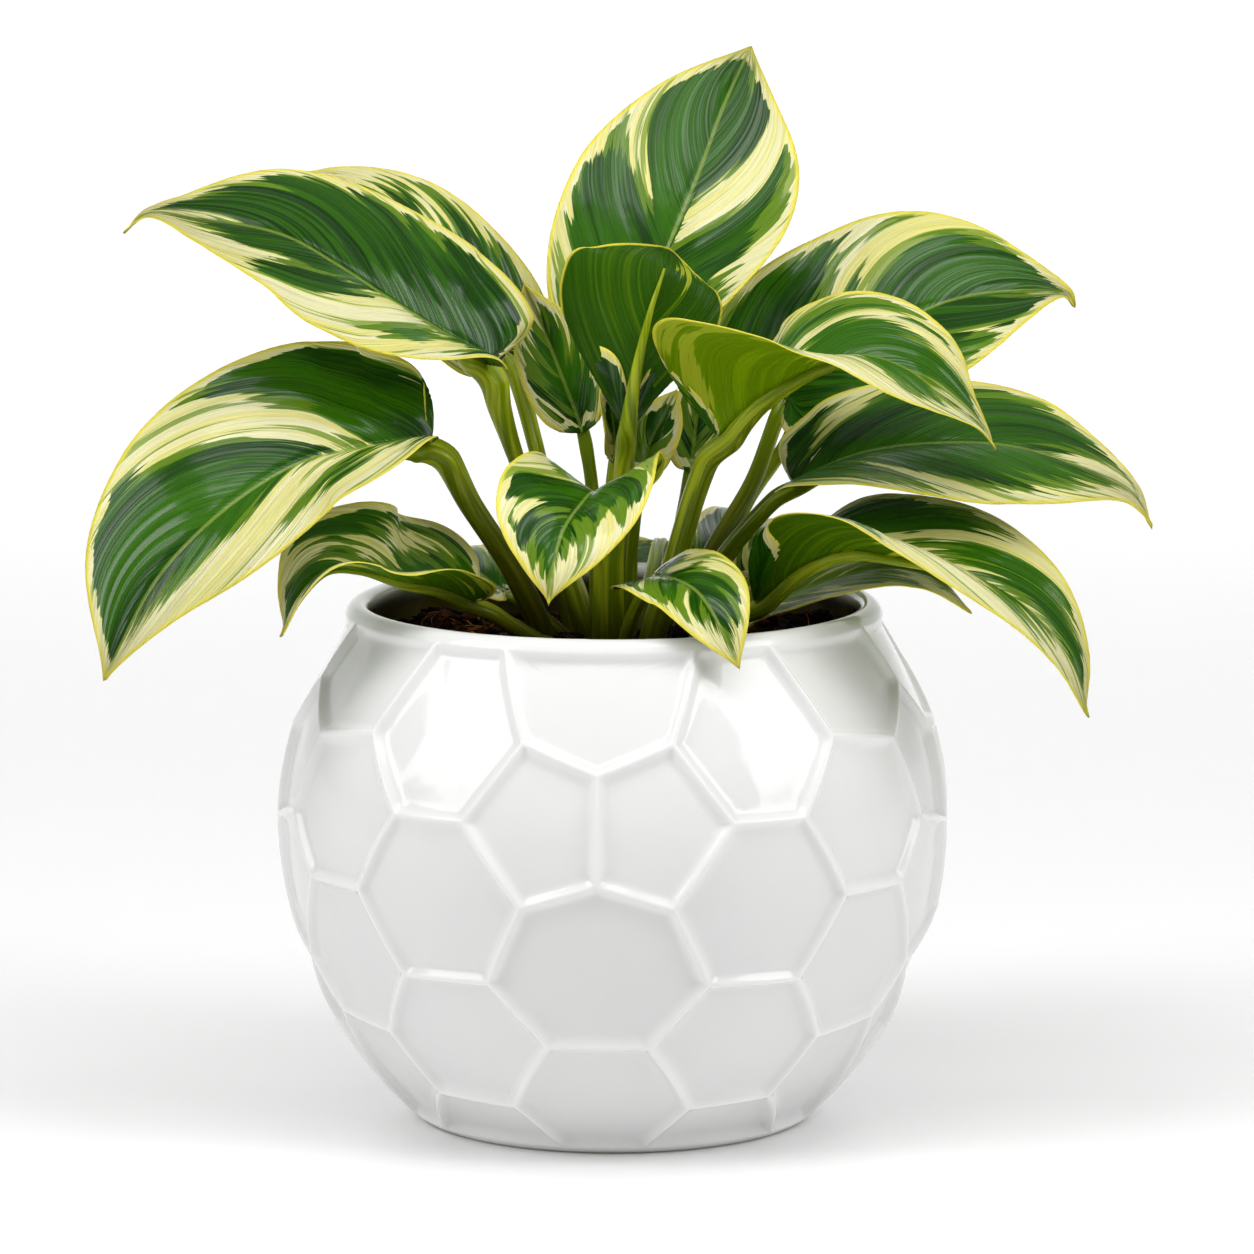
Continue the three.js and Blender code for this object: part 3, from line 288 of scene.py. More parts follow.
# Pale patches of a leaf and green ones inside them: the half of the blade, and the patch's corners,
# each in percent along the outline and percent from the rib to the edge. Past 100 is off the blade.
PAINT = {
    "leaf_top": [
        (PALE, LEFT, "52 87, 54 70, 59 83, 64 90, 69 96, 69 110, 50 110"),
        (PALE, LEFT, "70 33, 72.5 53, 75 68, 77 82, 80 95, 83 110, 88.5 110, 85 90, 82 80, "
            "77.5 65, 74 49"),
        (PALE, LEFT, "66 95, 77 90, 84 110, 66 110"),
        (PALE, RIGHT, "60 4, 65 22, 70 43, 75 62, 81 83, 86 110, 92 110, 89 89, 84 68, 78 43, "
            "74 22, 70 8, 66 2"),
        (PALE, RIGHT, "55 89, 58.3 58, 61 68, 64 76, 68 81.5, 73 86, 81 87, 85 93, 86 110, 53 110"),
        (PALE, RIGHT, "94 90, 98 60, 100 60, 100 110, 93 110"),
    ],
    "leaf_upper_left": [
        (PALE, LEFT, "51 5, 55 2, 60 3, 66 12, 71 22, 76 33, 82 44, 87.5 49, 90 42, 92.5 30, "
            "95 16, 96.5 0, 100 0, 100 110, 46 110"),
        (GREEN, LEFT, "52.5 28, 56.5 30, 61 43, 65 64, 63.5 72, 59 74, 53 65"),
        (GREEN, LEFT, "61 10, 63 7, 68 12, 75 35, 80 58, 83.5 76, 82.5 85, 79 84, 75 70, 70 47, "
            "66 28"),
        (PALE, RIGHT, "85 3, 90 4, 95 2, 95.5 10, 94 24, 90 28, 87.5 20"),
        (PALE, RIGHT, "48 110, 56 94, 64 90, 72 92, 80 86, 87 82, 93 80, 97 110"),
        (PALE, RIGHT, "25 110, 36 70, 42 75, 46 110"),
    ],
    "leaf_left": [
        (PALE, LEFT, "44 20, 47 25, 50 5, 53 2, 60 3, 64 8, 70 24, 77 39, 85 51, 90 47, 92.5 32, "
            "94 12, 94.5 0, 100 0, 100 110, 42 110"),
        (GREEN, LEFT, "51 8, 54 10, 56.5 28, 60 43, 65 55, 67.5 58.5, 63 64, 58 66, 56 55, "
            "53 39, 51 28"),
        (PALE, RIGHT, "53 3, 59 7, 65 27, 70 50, 73.5 73, 76.5 90, 78 110, 69 110, 66.5 83, "
            "63 62, 61 43, 57 25"),
    ],
    "leaf_upper_right": [
        (PALE, LEFT, "58 38, 62 45, 66 62, 70 80, 76 95, 70 110, 66 90, 63 70, 60 52"),
        (PALE, LEFT, "67 40, 70 55, 74 75, 79 90, 83 110, 77 110, 72 85, 69 65"),
        (PALE, LEFT, "30 110, 47 95, 55 97, 62 90, 67 93, 72 97, 80 97, 85 93, 90 90, 94 85, "
            "96 75, 100 70, 100 110"),
        (PALE, RIGHT, "76 60, 78 72, 82 90, 85 110, 80 110, 77 85"),
        (PALE, RIGHT, "74 90, 80 100, 90 95, 95 110, 70 110"),
        (PALE, RIGHT, "93 10, 95 20, 96 50, 94 60, 91 35"),
    ],
    "leaf_right": [
        (PALE, LEFT, "43 10, 46 20, 50 50, 53 75, 56 110, 63 110, 60 90, 56 70, 52 50, 48 30"),
        (PALE, LEFT, "82 3, 85 25, 87 45, 89 62, 92 60, 95 40, 95.5 5"),
        (PALE, LEFT, "70 110, 74 85, 80 96, 88 90, 93 70, 96 50, 100 30, 100 110"),
        (PALE, RIGHT, "55 35, 60 50, 65 65, 72 75, 79 78, 85 62, 90 50, 93 25, 94.5 0, 100 0, "
            "100 110, 50 110, 52 82, 60 85, 65 80, 60 60"),
    ],
    "leaf_right_folded": [
        (PALE, RIGHT, "41 10, 46 20, 50 42, 54 72, 56 110, 49 110, 47 65, 44 35"),
        (PALE, LEFT, "50 110, 54 86, 60 84, 70 88, 80 86, 86 110"),
        (PALE, LEFT, "60 2, 63 30, 69 50, 75 62, 83 66, 86 85, 78 75, 70 62, 64 50, 58 20"),
        (PALE, LEFT, "86 5, 90 30, 93 50, 96 30, 94 3"),
        (PALE, RIGHT, "28 110, 36 84, 46 80, 50 90, 58 84, 64 86, 68 50, 67 5, 71 2, 76 35, "
            "80 70, 84 74, 88 40, 92 15, 100 20, 100 110"),
    ],
    "leaf_centre": [
        (PALE, LEFT, "90 55, 93 35, 95 80, 94 110, 90 110"),
    ],
    "leaf_front": [
        (PALE, LEFT, "68 110, 70 75, 72 40, 78 35, 84 20, 87 0, 100 0, 100 110"),
        (PALE, LEFT, "52 110, 56 50, 59 80, 62 110"),
        (PALE, LEFT, "30 110, 42 70, 46 85, 46 110"),
        (PALE, RIGHT, "68 15, 72 30, 76 70, 79 95, 74 90, 71 50"),
        (PALE, RIGHT, "50 90, 53 40, 57 60, 64 85, 70 110, 50 110"),
        (PALE, RIGHT, "78 90, 86 65, 92 40, 96 0, 100 0, 100 110, 78 110"),
        (PALE, RIGHT, "16 110, 25 82, 42 88, 50 110"),
    ],
    "leaf_front_right": [
        (PALE, LEFT, "50 10, 55 20, 60 60, 62 90, 57 50, 52 30"),
        (PALE, LEFT, "66 45, 70 70, 76 80, 85 85, 92 30, 95 0, 100 0, 100 110, 68 110"),
        (PALE, LEFT, "20 110, 30 88, 50 90, 60 110"),
        (PALE, RIGHT, "55 30, 58 45, 62 75, 66 90, 74 110, 60 110, 57 70"),
        (PALE, RIGHT, "68 10, 73 30, 77 52, 73 42"),
        (PALE, RIGHT, "75 70, 82 50, 88 20, 92 0, 100 0, 100 110, 76 110"),
        (PALE, RIGHT, "15 110, 20 84, 40 80, 55 110"),
    ],
    "leaf_behind_left": [
        (PALE, RIGHT, "35 110, 45 82, 55 86, 65 80, 75 84, 80 62, 84 35, 88 50, 90 90, 95 110"),
        (PALE, RIGHT, "68 12, 72 30, 77 65, 75 72, 70 45"),
        (PALE, LEFT, "40 110, 50 85, 70 90, 80 110"),
        (PALE, LEFT, "60 10, 66 40, 70 80, 66 70, 61 35"),
    ],
    "leaf_inner_left": [
        (PALE, LEFT, "87 0, 81 35, 76 70, 72 110, 100 110, 100 0"),
        (PALE, LEFT, "50 15, 54 40, 60 60, 66 110, 58 110, 53 70"),
        (PALE, RIGHT, "88 0, 91 35, 90 70, 84 60, 76 75, 72 110, 100 110, 100 0"),
        (PALE, RIGHT, "30 110, 40 65, 50 72, 56 110"),
    ],
    "leaf_lower_left": [
        (PALE, LEFT, "40 60, 45 20, 49 40, 53 110, 46 110"),
        (PALE, LEFT, "58 10, 62 30, 65 110, 69 110, 66 40"),
        (PALE, LEFT, "73 10, 76 50, 77 110, 82 110, 80 40"),
        (PALE, LEFT, "88 10, 91 60, 93 110, 99 110, 96 20"),
        (PALE, RIGHT, "50 65, 62 42, 72 12, 77 6, 71 42, 61 66"),
        (PALE, RIGHT, "76 40, 80 65, 84 110, 92 110, 86 55, 81 30"),
        (PALE, RIGHT, "30 110, 38 86, 50 90, 62 92, 70 110"),
    ],
    "leaf_lower_right": [
        (PALE, LEFT, "60 3, 70 2, 86 0, 90 4, 80 3, 69 12, 64 25, 60 20"),
        (PALE, LEFT, "67 30, 70 30, 75 55, 80 75, 83 88, 85 110, 70 110, 76 85, 72 60"),
        (PALE, LEFT, "88 60, 91 85, 95 110, 87 110"),
        (PALE, RIGHT, "66 0, 74 2, 77 50, 80 80, 83 75, 87 35, 92 0, 100 0, 100 110, 64 110"),
    ],
}

# Height of a petiole's foot in the mix, and the height from which its brown fades.
STEM_FOOT = 88
BROWN_FROM = 106

# Side veins: the outline value where the first one ends, how their roots crowd towards the base,
# and how far out and forward the middle of a vein's curve is drawn.
FIRST_ROOT = 0.4
ROOT_CROWDING = 1.15
VEIN_SPREAD = 0.6
VEIN_LEAN = 0.35

# The turn of the edge's waves along the outline, and the curl that a flat blade has at least,
# because the bending divides by it.
RUFFLES = 11
LEAST_CURL = 1e-4


class Spine:
    """A smooth middle line as a dense run of points, measured from one of those it is given."""

    steps = 24

    def __init__(self, given, start):
        self.points = self.rounded(np.array(given, float))
        strides = np.linalg.norm(np.diff(self.points, axis=0), axis=1)
        lengths = np.concatenate([[0], np.cumsum(strides)])
        self.lengths = lengths - lengths[start * self.steps]
        self.along = unit(np.gradient(self.points, axis=0))
        self.reach = self.lengths[-1]
        self.foot = self.lengths[0]

    def rounded(self, points):
        """A smooth curve through all the points, as in the solid."""
        ends = np.vstack([2 * points[0] - points[1], points, 2 * points[-1] - points[-2]])
        u = (np.arange(self.steps) / self.steps)[:, None]
        spans = []
        for p0, p1, p2, p3 in zip(ends, ends[1:], ends[2:], ends[3:]):
            d0, d1, d2 = (np.linalg.norm(b - a) ** 0.5 for a, b in ((p0, p1), (p1, p2), (p2, p3)))
            out = ((p1 - p0) / d0 - (p2 - p0) / (d0 + d1) + (p2 - p1) / d1) * d1
            into = ((p2 - p1) / d1 - (p3 - p1) / (d1 + d2) + (p3 - p2) / d2) * d1
            bend = (3 * (p2 - p1) - 2 * out - into) * u ** 2
            spans.append(p1 + out * u + bend + (2 * (p1 - p2) + out + into) * u ** 3)
        return np.vstack(spans + [points[-1:]])

    def at(self, length):
        """Places and directions at these lengths."""
        point = np.stack([np.interp(length, self.lengths, p) for p in self.points.T], -1)
        along = np.stack([np.interp(length, self.lengths, a) for a in self.along.T], -1)
        return point, unit(along)


def curve_through(values, t):
    """The smooth curve through three values that are given at 0, a half and 1."""
    start, middle, end = (np.asarray(v, float) for v in values)
    t = np.clip(t, 0, 1)
    if start.ndim:
        t = t[..., None]
    return start * (1 - t) * (1 - 2 * t) + 4 * middle * t * (1 - t) + end * t * (2 * t - 1)


def rib_frame(leaf, spine, length):
    """Point, direction, upper side and right side of the rib; the lobes keep the base's frame."""
    point, along = spine.at(np.maximum(length, 0))
    point = point + along * np.minimum(length, 0)[..., None]
    up = curve_through(leaf["face"], length / spine.reach)
    up = unit(up - along * (up * along).sum(-1, keepdims=True))
    return point, along, up, np.cross(along, up)


def outline(leaf, t):
    """The blade's edge on the flat: one curve behind the base, one to the widest place, one on
    to the tip, each with its own third of t."""
    lobe, widest, point = leaf["lobe"], leaf["widest"], leaf["point"]
    taper = 1 - widest
    spans = np.array([
        [(0, 0), (-0.6 * lobe, 0.02), (-lobe, 0.15), (-lobe, 0.42)],
        [(-lobe, 0.42), (-lobe, 0.8), (widest - 0.6 * (widest + lobe), 1), (widest, 1)],
        [(widest, 1), (widest + 0.53 * taper, 1), (widest + 0.78 * taper, point), (1, 0)],
    ])
    span = np.minimum(2, np.floor(t * 3)).astype(int)
    f = (t * 3 - span)[..., None]
    p = spans[span]
    edge = (1 - f) ** 3 * p[..., 0, :] + 3 * f * (1 - f) ** 2 * p[..., 1, :]
    edge = edge + 3 * f * f * (1 - f) * p[..., 2, :] + f ** 3 * p[..., 3, :]
    return edge[..., 0], edge[..., 1]


def vein_root(t):
    """Where the side vein that ends at outline value t leaves the rib."""
    return np.clip((t - FIRST_ROOT) / (1 - FIRST_ROOT), 0, 1) ** ROOT_CROWDING


def flat_point(leaf, t, f):
    """A place on the flat blade: f along the side vein that ends at outline value t."""
    x, y = outline(leaf, t)
    root = vein_root(t)
    u = 1 - f
    across = 2 * u * f * VEIN_SPREAD * y + f * f * y
    return u * u * root + 2 * u * f * (root + VEIN_LEAN * (x - root)) + f * f * x, across


def blade_point(leaf, spine, side, t, f):
    """Bends a flat place onto the leaf, up and over from the rib by the fold and the curl."""
    x, y = flat_point(leaf, t, f)
    half = leaf["half"][side]
    point, _, up, right = rib_frame(leaf, spine, x * spine.reach)
    fold = np.radians(curve_through(leaf["fold"][side], x))
    curl = np.radians(curve_through(leaf["curl"][side], x)) + LEAST_CURL
    end = fold + curl * y
    across = (np.sin(end) - np.sin(fold)) / curl * half
    wave = leaf["ruffle"] * f * f * np.sin(t * RUFFLES + half)
    lift = (np.cos(fold) - np.cos(end)) / curl * half + wave
    sign = (-1, 1)[side]
    return point + right * (sign * across)[..., None] + up * lift[..., None]


def signed_distance(places, corners):
    """Distance of flat places to the edge of a closed patch, positive inside it."""
    inside = np.zeros(len(places), bool)
    nearest = np.full(len(places), np.inf)
    x, y = places.T
    for (ax, ay), (bx, by) in zip(corners, np.roll(corners, -1, axis=0)):
        dx, dy = bx - ax, by - ay
        run = np.clip(((x - ax) * dx + (y - ay) * dy) / max(dx * dx + dy * dy, TINY), 0, 1)
        nearest = np.minimum(nearest, np.hypot(x - ax - run * dx, y - ay - run * dy))
        crosses = (ay > y) != (by > y)
        rise = dy if abs(dy) > TINY else TINY
        inside ^= crosses & (x < ax + (y - ay) * dx / rise)
    return np.where(inside, nearest, -nearest)


def make_object(name, points, faces, slot, material, nodes=(), values=None):
    """A smooth-shaded piece in metres from points in millimetres, with values at each point."""
    mesh = bpy.data.meshes.new(name)
    mesh.from_pydata((np.asarray(points) * MM).tolist(), [], [list(map(int, f)) for f in faces])
    mesh.validate()
    mesh.polygons.foreach_set("use_smooth", [True] * len(mesh.polygons))
    for key, data in (values or {}).items():
        layer = mesh.attributes.new(key, "FLOAT", "POINT")
        layer.data.foreach_set("value", np.asarray(data, np.float32))
    mesh.materials.append(material)
    mesh.update()
    piece = bpy.data.objects.new(name, mesh)
    bpy.context.scene.collection.objects.link(piece)
    if slot:
        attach(piece, "root")
    if nodes:
        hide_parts(*nodes)
    return piece


def strip_faces(rows, columns, closed):
    """Quads of a grid of points, row after row; closed joins the last column to the first."""
    steps = columns if closed else columns - 1
    i, j = np.meshgrid(np.arange(rows - 1), np.arange(steps), indexing="ij")
    after = (j + 1) % columns
    low, high = i * columns, (i + 1) * columns
    return np.stack([low + j, low + after, high + after, high + j], -1).reshape(-1, 4)


def flipped(faces):
    """The same faces turned the other way."""
    return [face[::-1] for face in np.asarray(faces).tolist()]


def joined(parts):
    """One mesh of several parts, each with its points, its faces and a value at each point."""
    points, faces, values = zip(*parts)
    starts = np.cumsum([0] + [len(p) for p in points]).tolist()
    faces = [[v + start for v in face] for start, part in zip(starts, faces) for face in part]
    return np.vstack(points), faces, np.concatenate(values)


def weld(points, faces):
    """Joins points that lie together and drops faces that this closes up."""
    grain, shift = 0.002, 0.0007
    cells = np.round((points + shift) / grain).astype(int)
    _, first, index = np.unique(cells, axis=0, return_index=True, return_inverse=True)
    index = index.reshape(-1)
    kept = []
    for face in faces:
        loop = list(dict.fromkeys(index[list(face)].tolist()))
        if len(loop) > 2:
            kept.append(loop)
    return points[first], kept, first


# A blade's markings are measured across and along its veins: how far a vein slants back towards
# the edge, the outline's length for each millimetre of rib, and the share by which distances along
# a vein count, so that the ragged edges run with the veins. Then a depth far off any patch, and
# how far apart the leaves lie in the noise of their material.
SLANT = 0.28
VEIN_STRETCH = 1.25
ALONG_SHARE = 0.4
OFF_PATCH = 9.0
SEED_STEP = 7.3


def slanted(t, f):
    """Outline value of a place, moved back the further it lies out on its vein."""
    return t - SLANT * f * smooth(0.2, 0.6, t)


class Blade:
    """The blade's mesh: a welded sheet with relief, thickened, and what its material reads."""

    rows, rows_per_mm = 24, 1.35
    columns, columns_per_mm = 8, 0.6
    fineness = 1e5
    edge_samples = 90
    edge_thinning = 0.55
    groove_depth = 0.3

    def __init__(self, leaf, spine, look, seed):
        self.leaf, self.spine, self.look, self.seed = leaf, spine, look, seed
        rows = int(self.rows + self.rows_per_mm * spine.reach)
        columns = int(self.columns + self.columns_per_mm * max(leaf["half"]))
        lines = (LEFT, RIGHT), np.linspace(0, 1, rows + 1), np.linspace(0, 1, columns + 1)
        grid = np.meshgrid(*lines, indexing="ij")
        self.side, self.t, self.f = (g.reshape(-1) for g in grid)
        self.side = self.side.astype(int)
        self.x, self.y = flat_point(leaf, self.t, self.f)
        left, right = (blade_point(leaf, spine, side, self.t, self.f) for side in (LEFT, RIGHT))
        points = np.where((self.side == LEFT)[:, None], left, right)
        self.points, self.faces = self.sheet(points, grid[0].shape)
        self.relief()

    def sheet(self, points, shape):
        """Quads of both halves, joined along the rib and wherever places fall together."""
        ids = np.arange(len(points)).reshape(shape)
        a, b = ids[:, :-1, :-1], ids[:, 1:, :-1]
        c, d = ids[:, 1:, 1:], ids[:, :-1, 1:]
        left = np.stack([a[0], b[0], c[0], d[0]], -1).reshape(-1, 4)
        right = np.stack([a[1], d[1], c[1], b[1]], -1).reshape(-1, 4)
        off_rib = self.side * (self.y > 1e-6)
        key = np.round(np.stack([self.x * self.fineness, self.y * self.fineness, off_rib], -1))
        found = np.unique(key.astype(int), axis=0, return_index=True, return_inverse=True)
        _, first, index = found
        index = index.reshape(-1)
        faces = []
        for quad in index[np.vstack([left, right])]:
            loop = [v for k, v in enumerate(quad) if v != quad[k - 1]]
            if len(set(loop)) > 2:
                faces.append(loop)
        for name in ("side", "t", "f", "x", "y"):
            setattr(self, name, getattr(self, name)[first])
        return points[first], faces

    def normals(self):
        """Directions outward from the sheet's upper side."""
        total = np.zeros_like(self.points)
        for size in (3, 4):
            loops = np.array([face for face in self.faces if len(face) == size])
            if len(loops) == 0:
                continue
            p = self.points[loops].transpose(1, 0, 2)
            spans = (p[1] - p[0], p[2] - p[0]) if size == 3 else (p[2] - p[0], p[3] - p[1])
            normal = np.cross(*spans)
            for k in range(size):
                np.add.at(total, loops[:, k], normal)
        return unit(total)

    def edge_depth(self):
        """How far each point lies from the edge of the flat blade, in millimetres. Near the lobes,
        where the veins bulge past the outline, it is the rest of the way along the vein."""
        left, right = self.leaf["half"]
        reach = self.spine.reach
        samples = np.linspace(0, 1, self.edge_samples)
        x, y = flat_point(self.leaf, samples, np.ones(len(samples)))
        near, far = (np.stack([x * reach, y * wide], -1) for wide in (-left, right))
        loop = np.vstack([near, far[::-1]])
        wide = np.where(self.side == LEFT, -left, right)
        spots = np.stack([self.x * reach, self.y * wide], -1)
        x, y = flat_point(self.leaf, self.t, np.ones(len(self.t)))
        vein_left = np.linalg.norm(np.stack([x * reach, y * wide], -1) - spots, axis=1)
        depth = signed_distance(spots, loop)
        depth = np.where(depth > 0, np.clip(depth, 0.35 * vein_left, vein_left), vein_left)
        return depth + (vein_left - depth) * (1 - smooth(0.2, 0.36, self.t))

    def relief(self):
        """Furrows along the side veins, puckers between them, a groove along the rib."""
        reach, depth = self.spine.reach, self.look.vein_relief / MM
        self.out = self.y * np.array(self.leaf["half"])[self.side]
        self.vein = slanted(self.t, self.f) * reach * VEIN_STRETCH
        self.to_edge = self.edge_depth()
        spacing = 3.1 + 0.02 * reach
        phase = self.vein / spacing + 0.35 * wobble(self.vein / 9, self.out / 15, self.seed)
        furrow = np.abs(np.sin(math.pi * phase)) ** 0.7
        pucker = wobble(self.vein / 4.5, self.out / 9, self.seed + 1)
        swell = wobble(self.vein / 13, self.out / 17, self.seed + 2)
        open_blade = smooth(0.02, 0.2, self.f) * (1 - 0.45 * smooth(0.6, 1, self.f))
        open_blade = open_blade * smooth(0, 0.1, self.t) * (1 - smooth(0.93, 1, self.t))
        groove = bell(self.out, 0.9) * (1 - smooth(0.75, 1, self.x)) * smooth(0, 0.06, self.x)
        height = open_blade * depth * (furrow + 0.9 * pucker)
        height = height + 2.2 * depth * swell * smooth(0.1, 0.7, self.f)
        height = height - self.groove_depth * groove
        self.points = self.points + self.normals() * height[:, None]

    def solid(self):
        """Both faces of the blade and the wall round its edge."""
        thinner = 1 - self.edge_thinning * smooth(0.7, 1, self.f)
        shift = self.normals() * (self.look.blade_thickness / MM / 2 * thinner)[:, None]
        count = len(self.points)
        points = np.vstack([self.points + shift, self.points - shift])
        faces = self.faces + [[v + count for v in reversed(face)] for face in self.faces]
        edges = {(face[k - 1], face[k]) for face in self.faces for k in range(len(face))}
        for a, b in sorted(edges):
            if (b, a) not in edges:
                faces.append([b, a, a + count, b + count])
        return points, faces

    def pale(self, paint):
        """How far each point lies inside the pale patches, in millimetres across the veins."""
        depth = np.full(len(self.points), -OFF_PATCH)
        reach = self.spine.reach * VEIN_STRETCH
        for side in (LEFT, RIGHT):
            half = self.leaf["half"][side]

            def place(t, f):
                """Where two places are as far apart as the patches' edges count it."""
                return np.stack([slanted(t, f) * reach, f * half * ALONG_SHARE], -1)

            mine = self.side == side
            spots = place(self.t[mine], self.f[mine])
            level = depth[mine]
            for kind, where, corners in paint:
                if where != side:
                    continue
                inside = signed_distance(spots, place(*np.array(corners, float).T))
                level = np.maximum(level, inside) if kind == PALE else np.minimum(level, -inside)
            depth[mine] = level
        return depth


def own_paint(name):
    """A leaf's own patches, with their corners as shares."""
    return [
        (kind, side, [[float(v) / 100 for v in pair.split()] for pair in corners.split(",")])
        for kind, side, corners in PAINT[name]]


def made_up_paint(seed):
    """Patches for a leaf without its own: a pale edge and a few wedges along the veins."""
    random = np.random.default_rng(seed)
    paint = []
    for side in (LEFT, RIGHT):
        t = 0.3 + 0.1 * random.random()
        while t < 0.9:
            width = random.uniform(0.04, 0.12)
            low = random.uniform(-0.1, 0.7)
            tip = t - 0.05 + random.uniform(0, 0.04)
            paint.append((PALE, side, [(tip, low), (t + width, 1.05), (t, 1.05)]))
            t += width + random.uniform(0.03, 0.16)
        depth = random.uniform(0.8, 0.93)
        edge = [(0.2, depth), (0.5, depth + 0.04), (0.8, depth), (0.95, 1.1), (0.1, 1.1)]
        paint.append((PALE, side, edge))
    return paint


def stalk_frame(leaf, spine, length):
    """Points, upper side and right side along the petiole and the rib, without a twist."""
    point, along = spine.at(length)
    up = rib_frame(leaf, spine, np.maximum(length, 0))[2]
    base = int(np.searchsorted(length, 0))
    for i in range(base - 1, -1, -1):
        up[i] = unit(up[i + 1] - along[i] * (up[i + 1] @ along[i]))
    up = unit(up - along * (up * along).sum(-1, keepdims=True))
    return point, up, np.cross(along, up)


def stalk_radius(leaf, spine, length, rib_end):
    """Thick at the foot, swollen under the blade, and thin towards the end of the rib."""
    thick, thin = leaf["stem"]
    end_radius = 0.3
    on_stem = thick + (thin - thick) * (1 - length / spine.foot)
    on_rib = thin + (end_radius - thin) * np.clip(length / rib_end, 0, 1) ** 0.8
    radius = np.where(length < 0, on_stem, on_rib) + 0.12 * thin * bell(length + 3, 3.5)
    return radius + leaf["flare"] * np.where(length < 0, bell(length, 15), bell(length, 7))


def stalk_mesh(leaf, spine):
    """The petiole and the rib that carries on under the blade, with a channel on its upper side."""
    sides = 20
    rows = int(40 + spine.reach)
    rib_end = 0.86 * spine.reach
    length = np.linspace(spine.foot, rib_end, rows)
    point, up, right = stalk_frame(leaf, spine, length)
    radius = stalk_radius(leaf, spine, length, rib_end)
    turn = np.arange(sides) / sides * FULL_TURN
    from_top = np.abs((turn - math.pi / 2 + math.pi) % FULL_TURN - math.pi)
    channel = smooth(-45, -8, length) * (1 - smooth(-2, 4, length))
    dip = 0.3 * bell(from_top, 0.42) - 0.1 * bell(from_top - 0.8, 0.25)
    shape = radius[:, None] * (1 - channel[:, None] * dip[None, :])
    sink = (radius + 0.25) * smooth(-7, 3, length)
    centre = point - up * sink[:, None]
    rings = centre[:, None] + right[:, None] * (shape * np.cos(turn))[..., None]
    rings = rings + up[:, None] * (shape * np.sin(turn))[..., None]
    faces = strip_faces(rows, sides, True).tolist()
    faces += [list(range(sides))[::-1], [(rows - 1) * sides + k for k in range(sides)]]
    around = np.repeat(radius, sides) * np.tile(turn, rows)
    return rings.reshape(-1, 3), faces, around, np.repeat(length, sides)


def build_leaf(name, look, material, seed):
    """One leaf in one mesh: the blade's solid and the petiole's solid, sunk into each other."""
    leaf = {**PLAIN_LEAF, **LEAVES[name]}
    x, y, _ = leaf["spine"][0]
    spine = Spine([(x, y, STEM_FOOT)] + leaf["spine"], leaf["blade"] + 1)
    blade = Blade(leaf, spine, look, seed)
    points, faces = blade.solid()
    stalk_points, stalk_faces, around, length = stalk_mesh(leaf, spine)
    brown = 1 - smooth(BROWN_FROM, BROWN_FROM + leaf["brown"], stalk_points[:, 2])
    out = blade.out * np.where(blade.side == LEFT, -1, 1)
    pale = blade.pale(own_paint(name) if name in PAINT else made_up_paint(seed))
    # Each value on the blade's upper face, on its underside, and on the petiole with the rib.
    values = {
        "vein": (blade.vein, blade.vein, around),
        "out": (out, out, length),
        "to_edge": (blade.to_edge, blade.to_edge, OFF_PATCH),
        "pale": (pale, pale, -OFF_PATCH),
        "under": (0, 1, 1),
        "stalk": (0, 0, 1),
        "brown": (0, 0, brown),
        "seed": (seed * SEED_STEP,) * 3,
        "tone": (leaf["tone"],) * 3,
        "lit": (leaf["lit"],) * 3,
    }
    counts = (len(blade.points), len(blade.points), len(stalk_points))
    for key, parts in values.items():
        values[key] = np.concatenate([np.broadcast_to(v, n) for v, n in zip(parts, counts)])
    faces = faces + [[v + len(points) for v in face] for face in stalk_faces]
    points = np.vstack([points, stalk_points])
    piece = name.replace("leaf_", "grown_leaf_")
    make_object(piece, points, faces, "leaf", material, [name], values)


class Bowl:
    """The pot's skin, as in the solid: a ball whose lower and upper halves have their own reach
    and fullness, with the net of ridges turned on it."""

    radius = 75.0
    waist = 69.0
    below = (86.0, 1.95)
    above = (84.0, 1.75)
    turn = -2.8

    def half(self, z):
        """Reach and fullness of the half that each height lies in."""
        low = np.asarray(z) < self.waist
        return [np.where(low, below, above) for below, above in zip(self.below, self.above)]

    def radius_at(self, z):
        """Radius of the skin at each height."""
        reach, power = self.half(z)
        return self.radius * (1 - (np.abs(z - self.waist) / reach) ** power) ** (1 / power)

    def at(self, angle, z):
        """A place on the skin, by degrees round from the net's front and height."""
        turn = np.radians(np.asarray(angle) + self.turn)
        r = self.radius_at(z)
        return np.stack([r * np.sin(turn), -r * np.cos(turn), np.asarray(z, float) + 0 * r], -1)

    def onto(self, points):
        """Slides points along their rays from the bowl's heart onto the skin."""
        heart = np.array([0, 0, self.waist])
        ray = points - heart
        reach, power = self.half(points[..., 2])
        spread = np.hypot(ray[..., 0], ray[..., 1]) / self.radius
        size = (spread ** power + (np.abs(ray[..., 2]) / reach) ** power) ** (-1 / power)
        return heart + ray * size[..., None]


# Heights of the band under the rim and of the foot's bevel, where the net ends.
BAND = 113.6
FOOT = 1.6

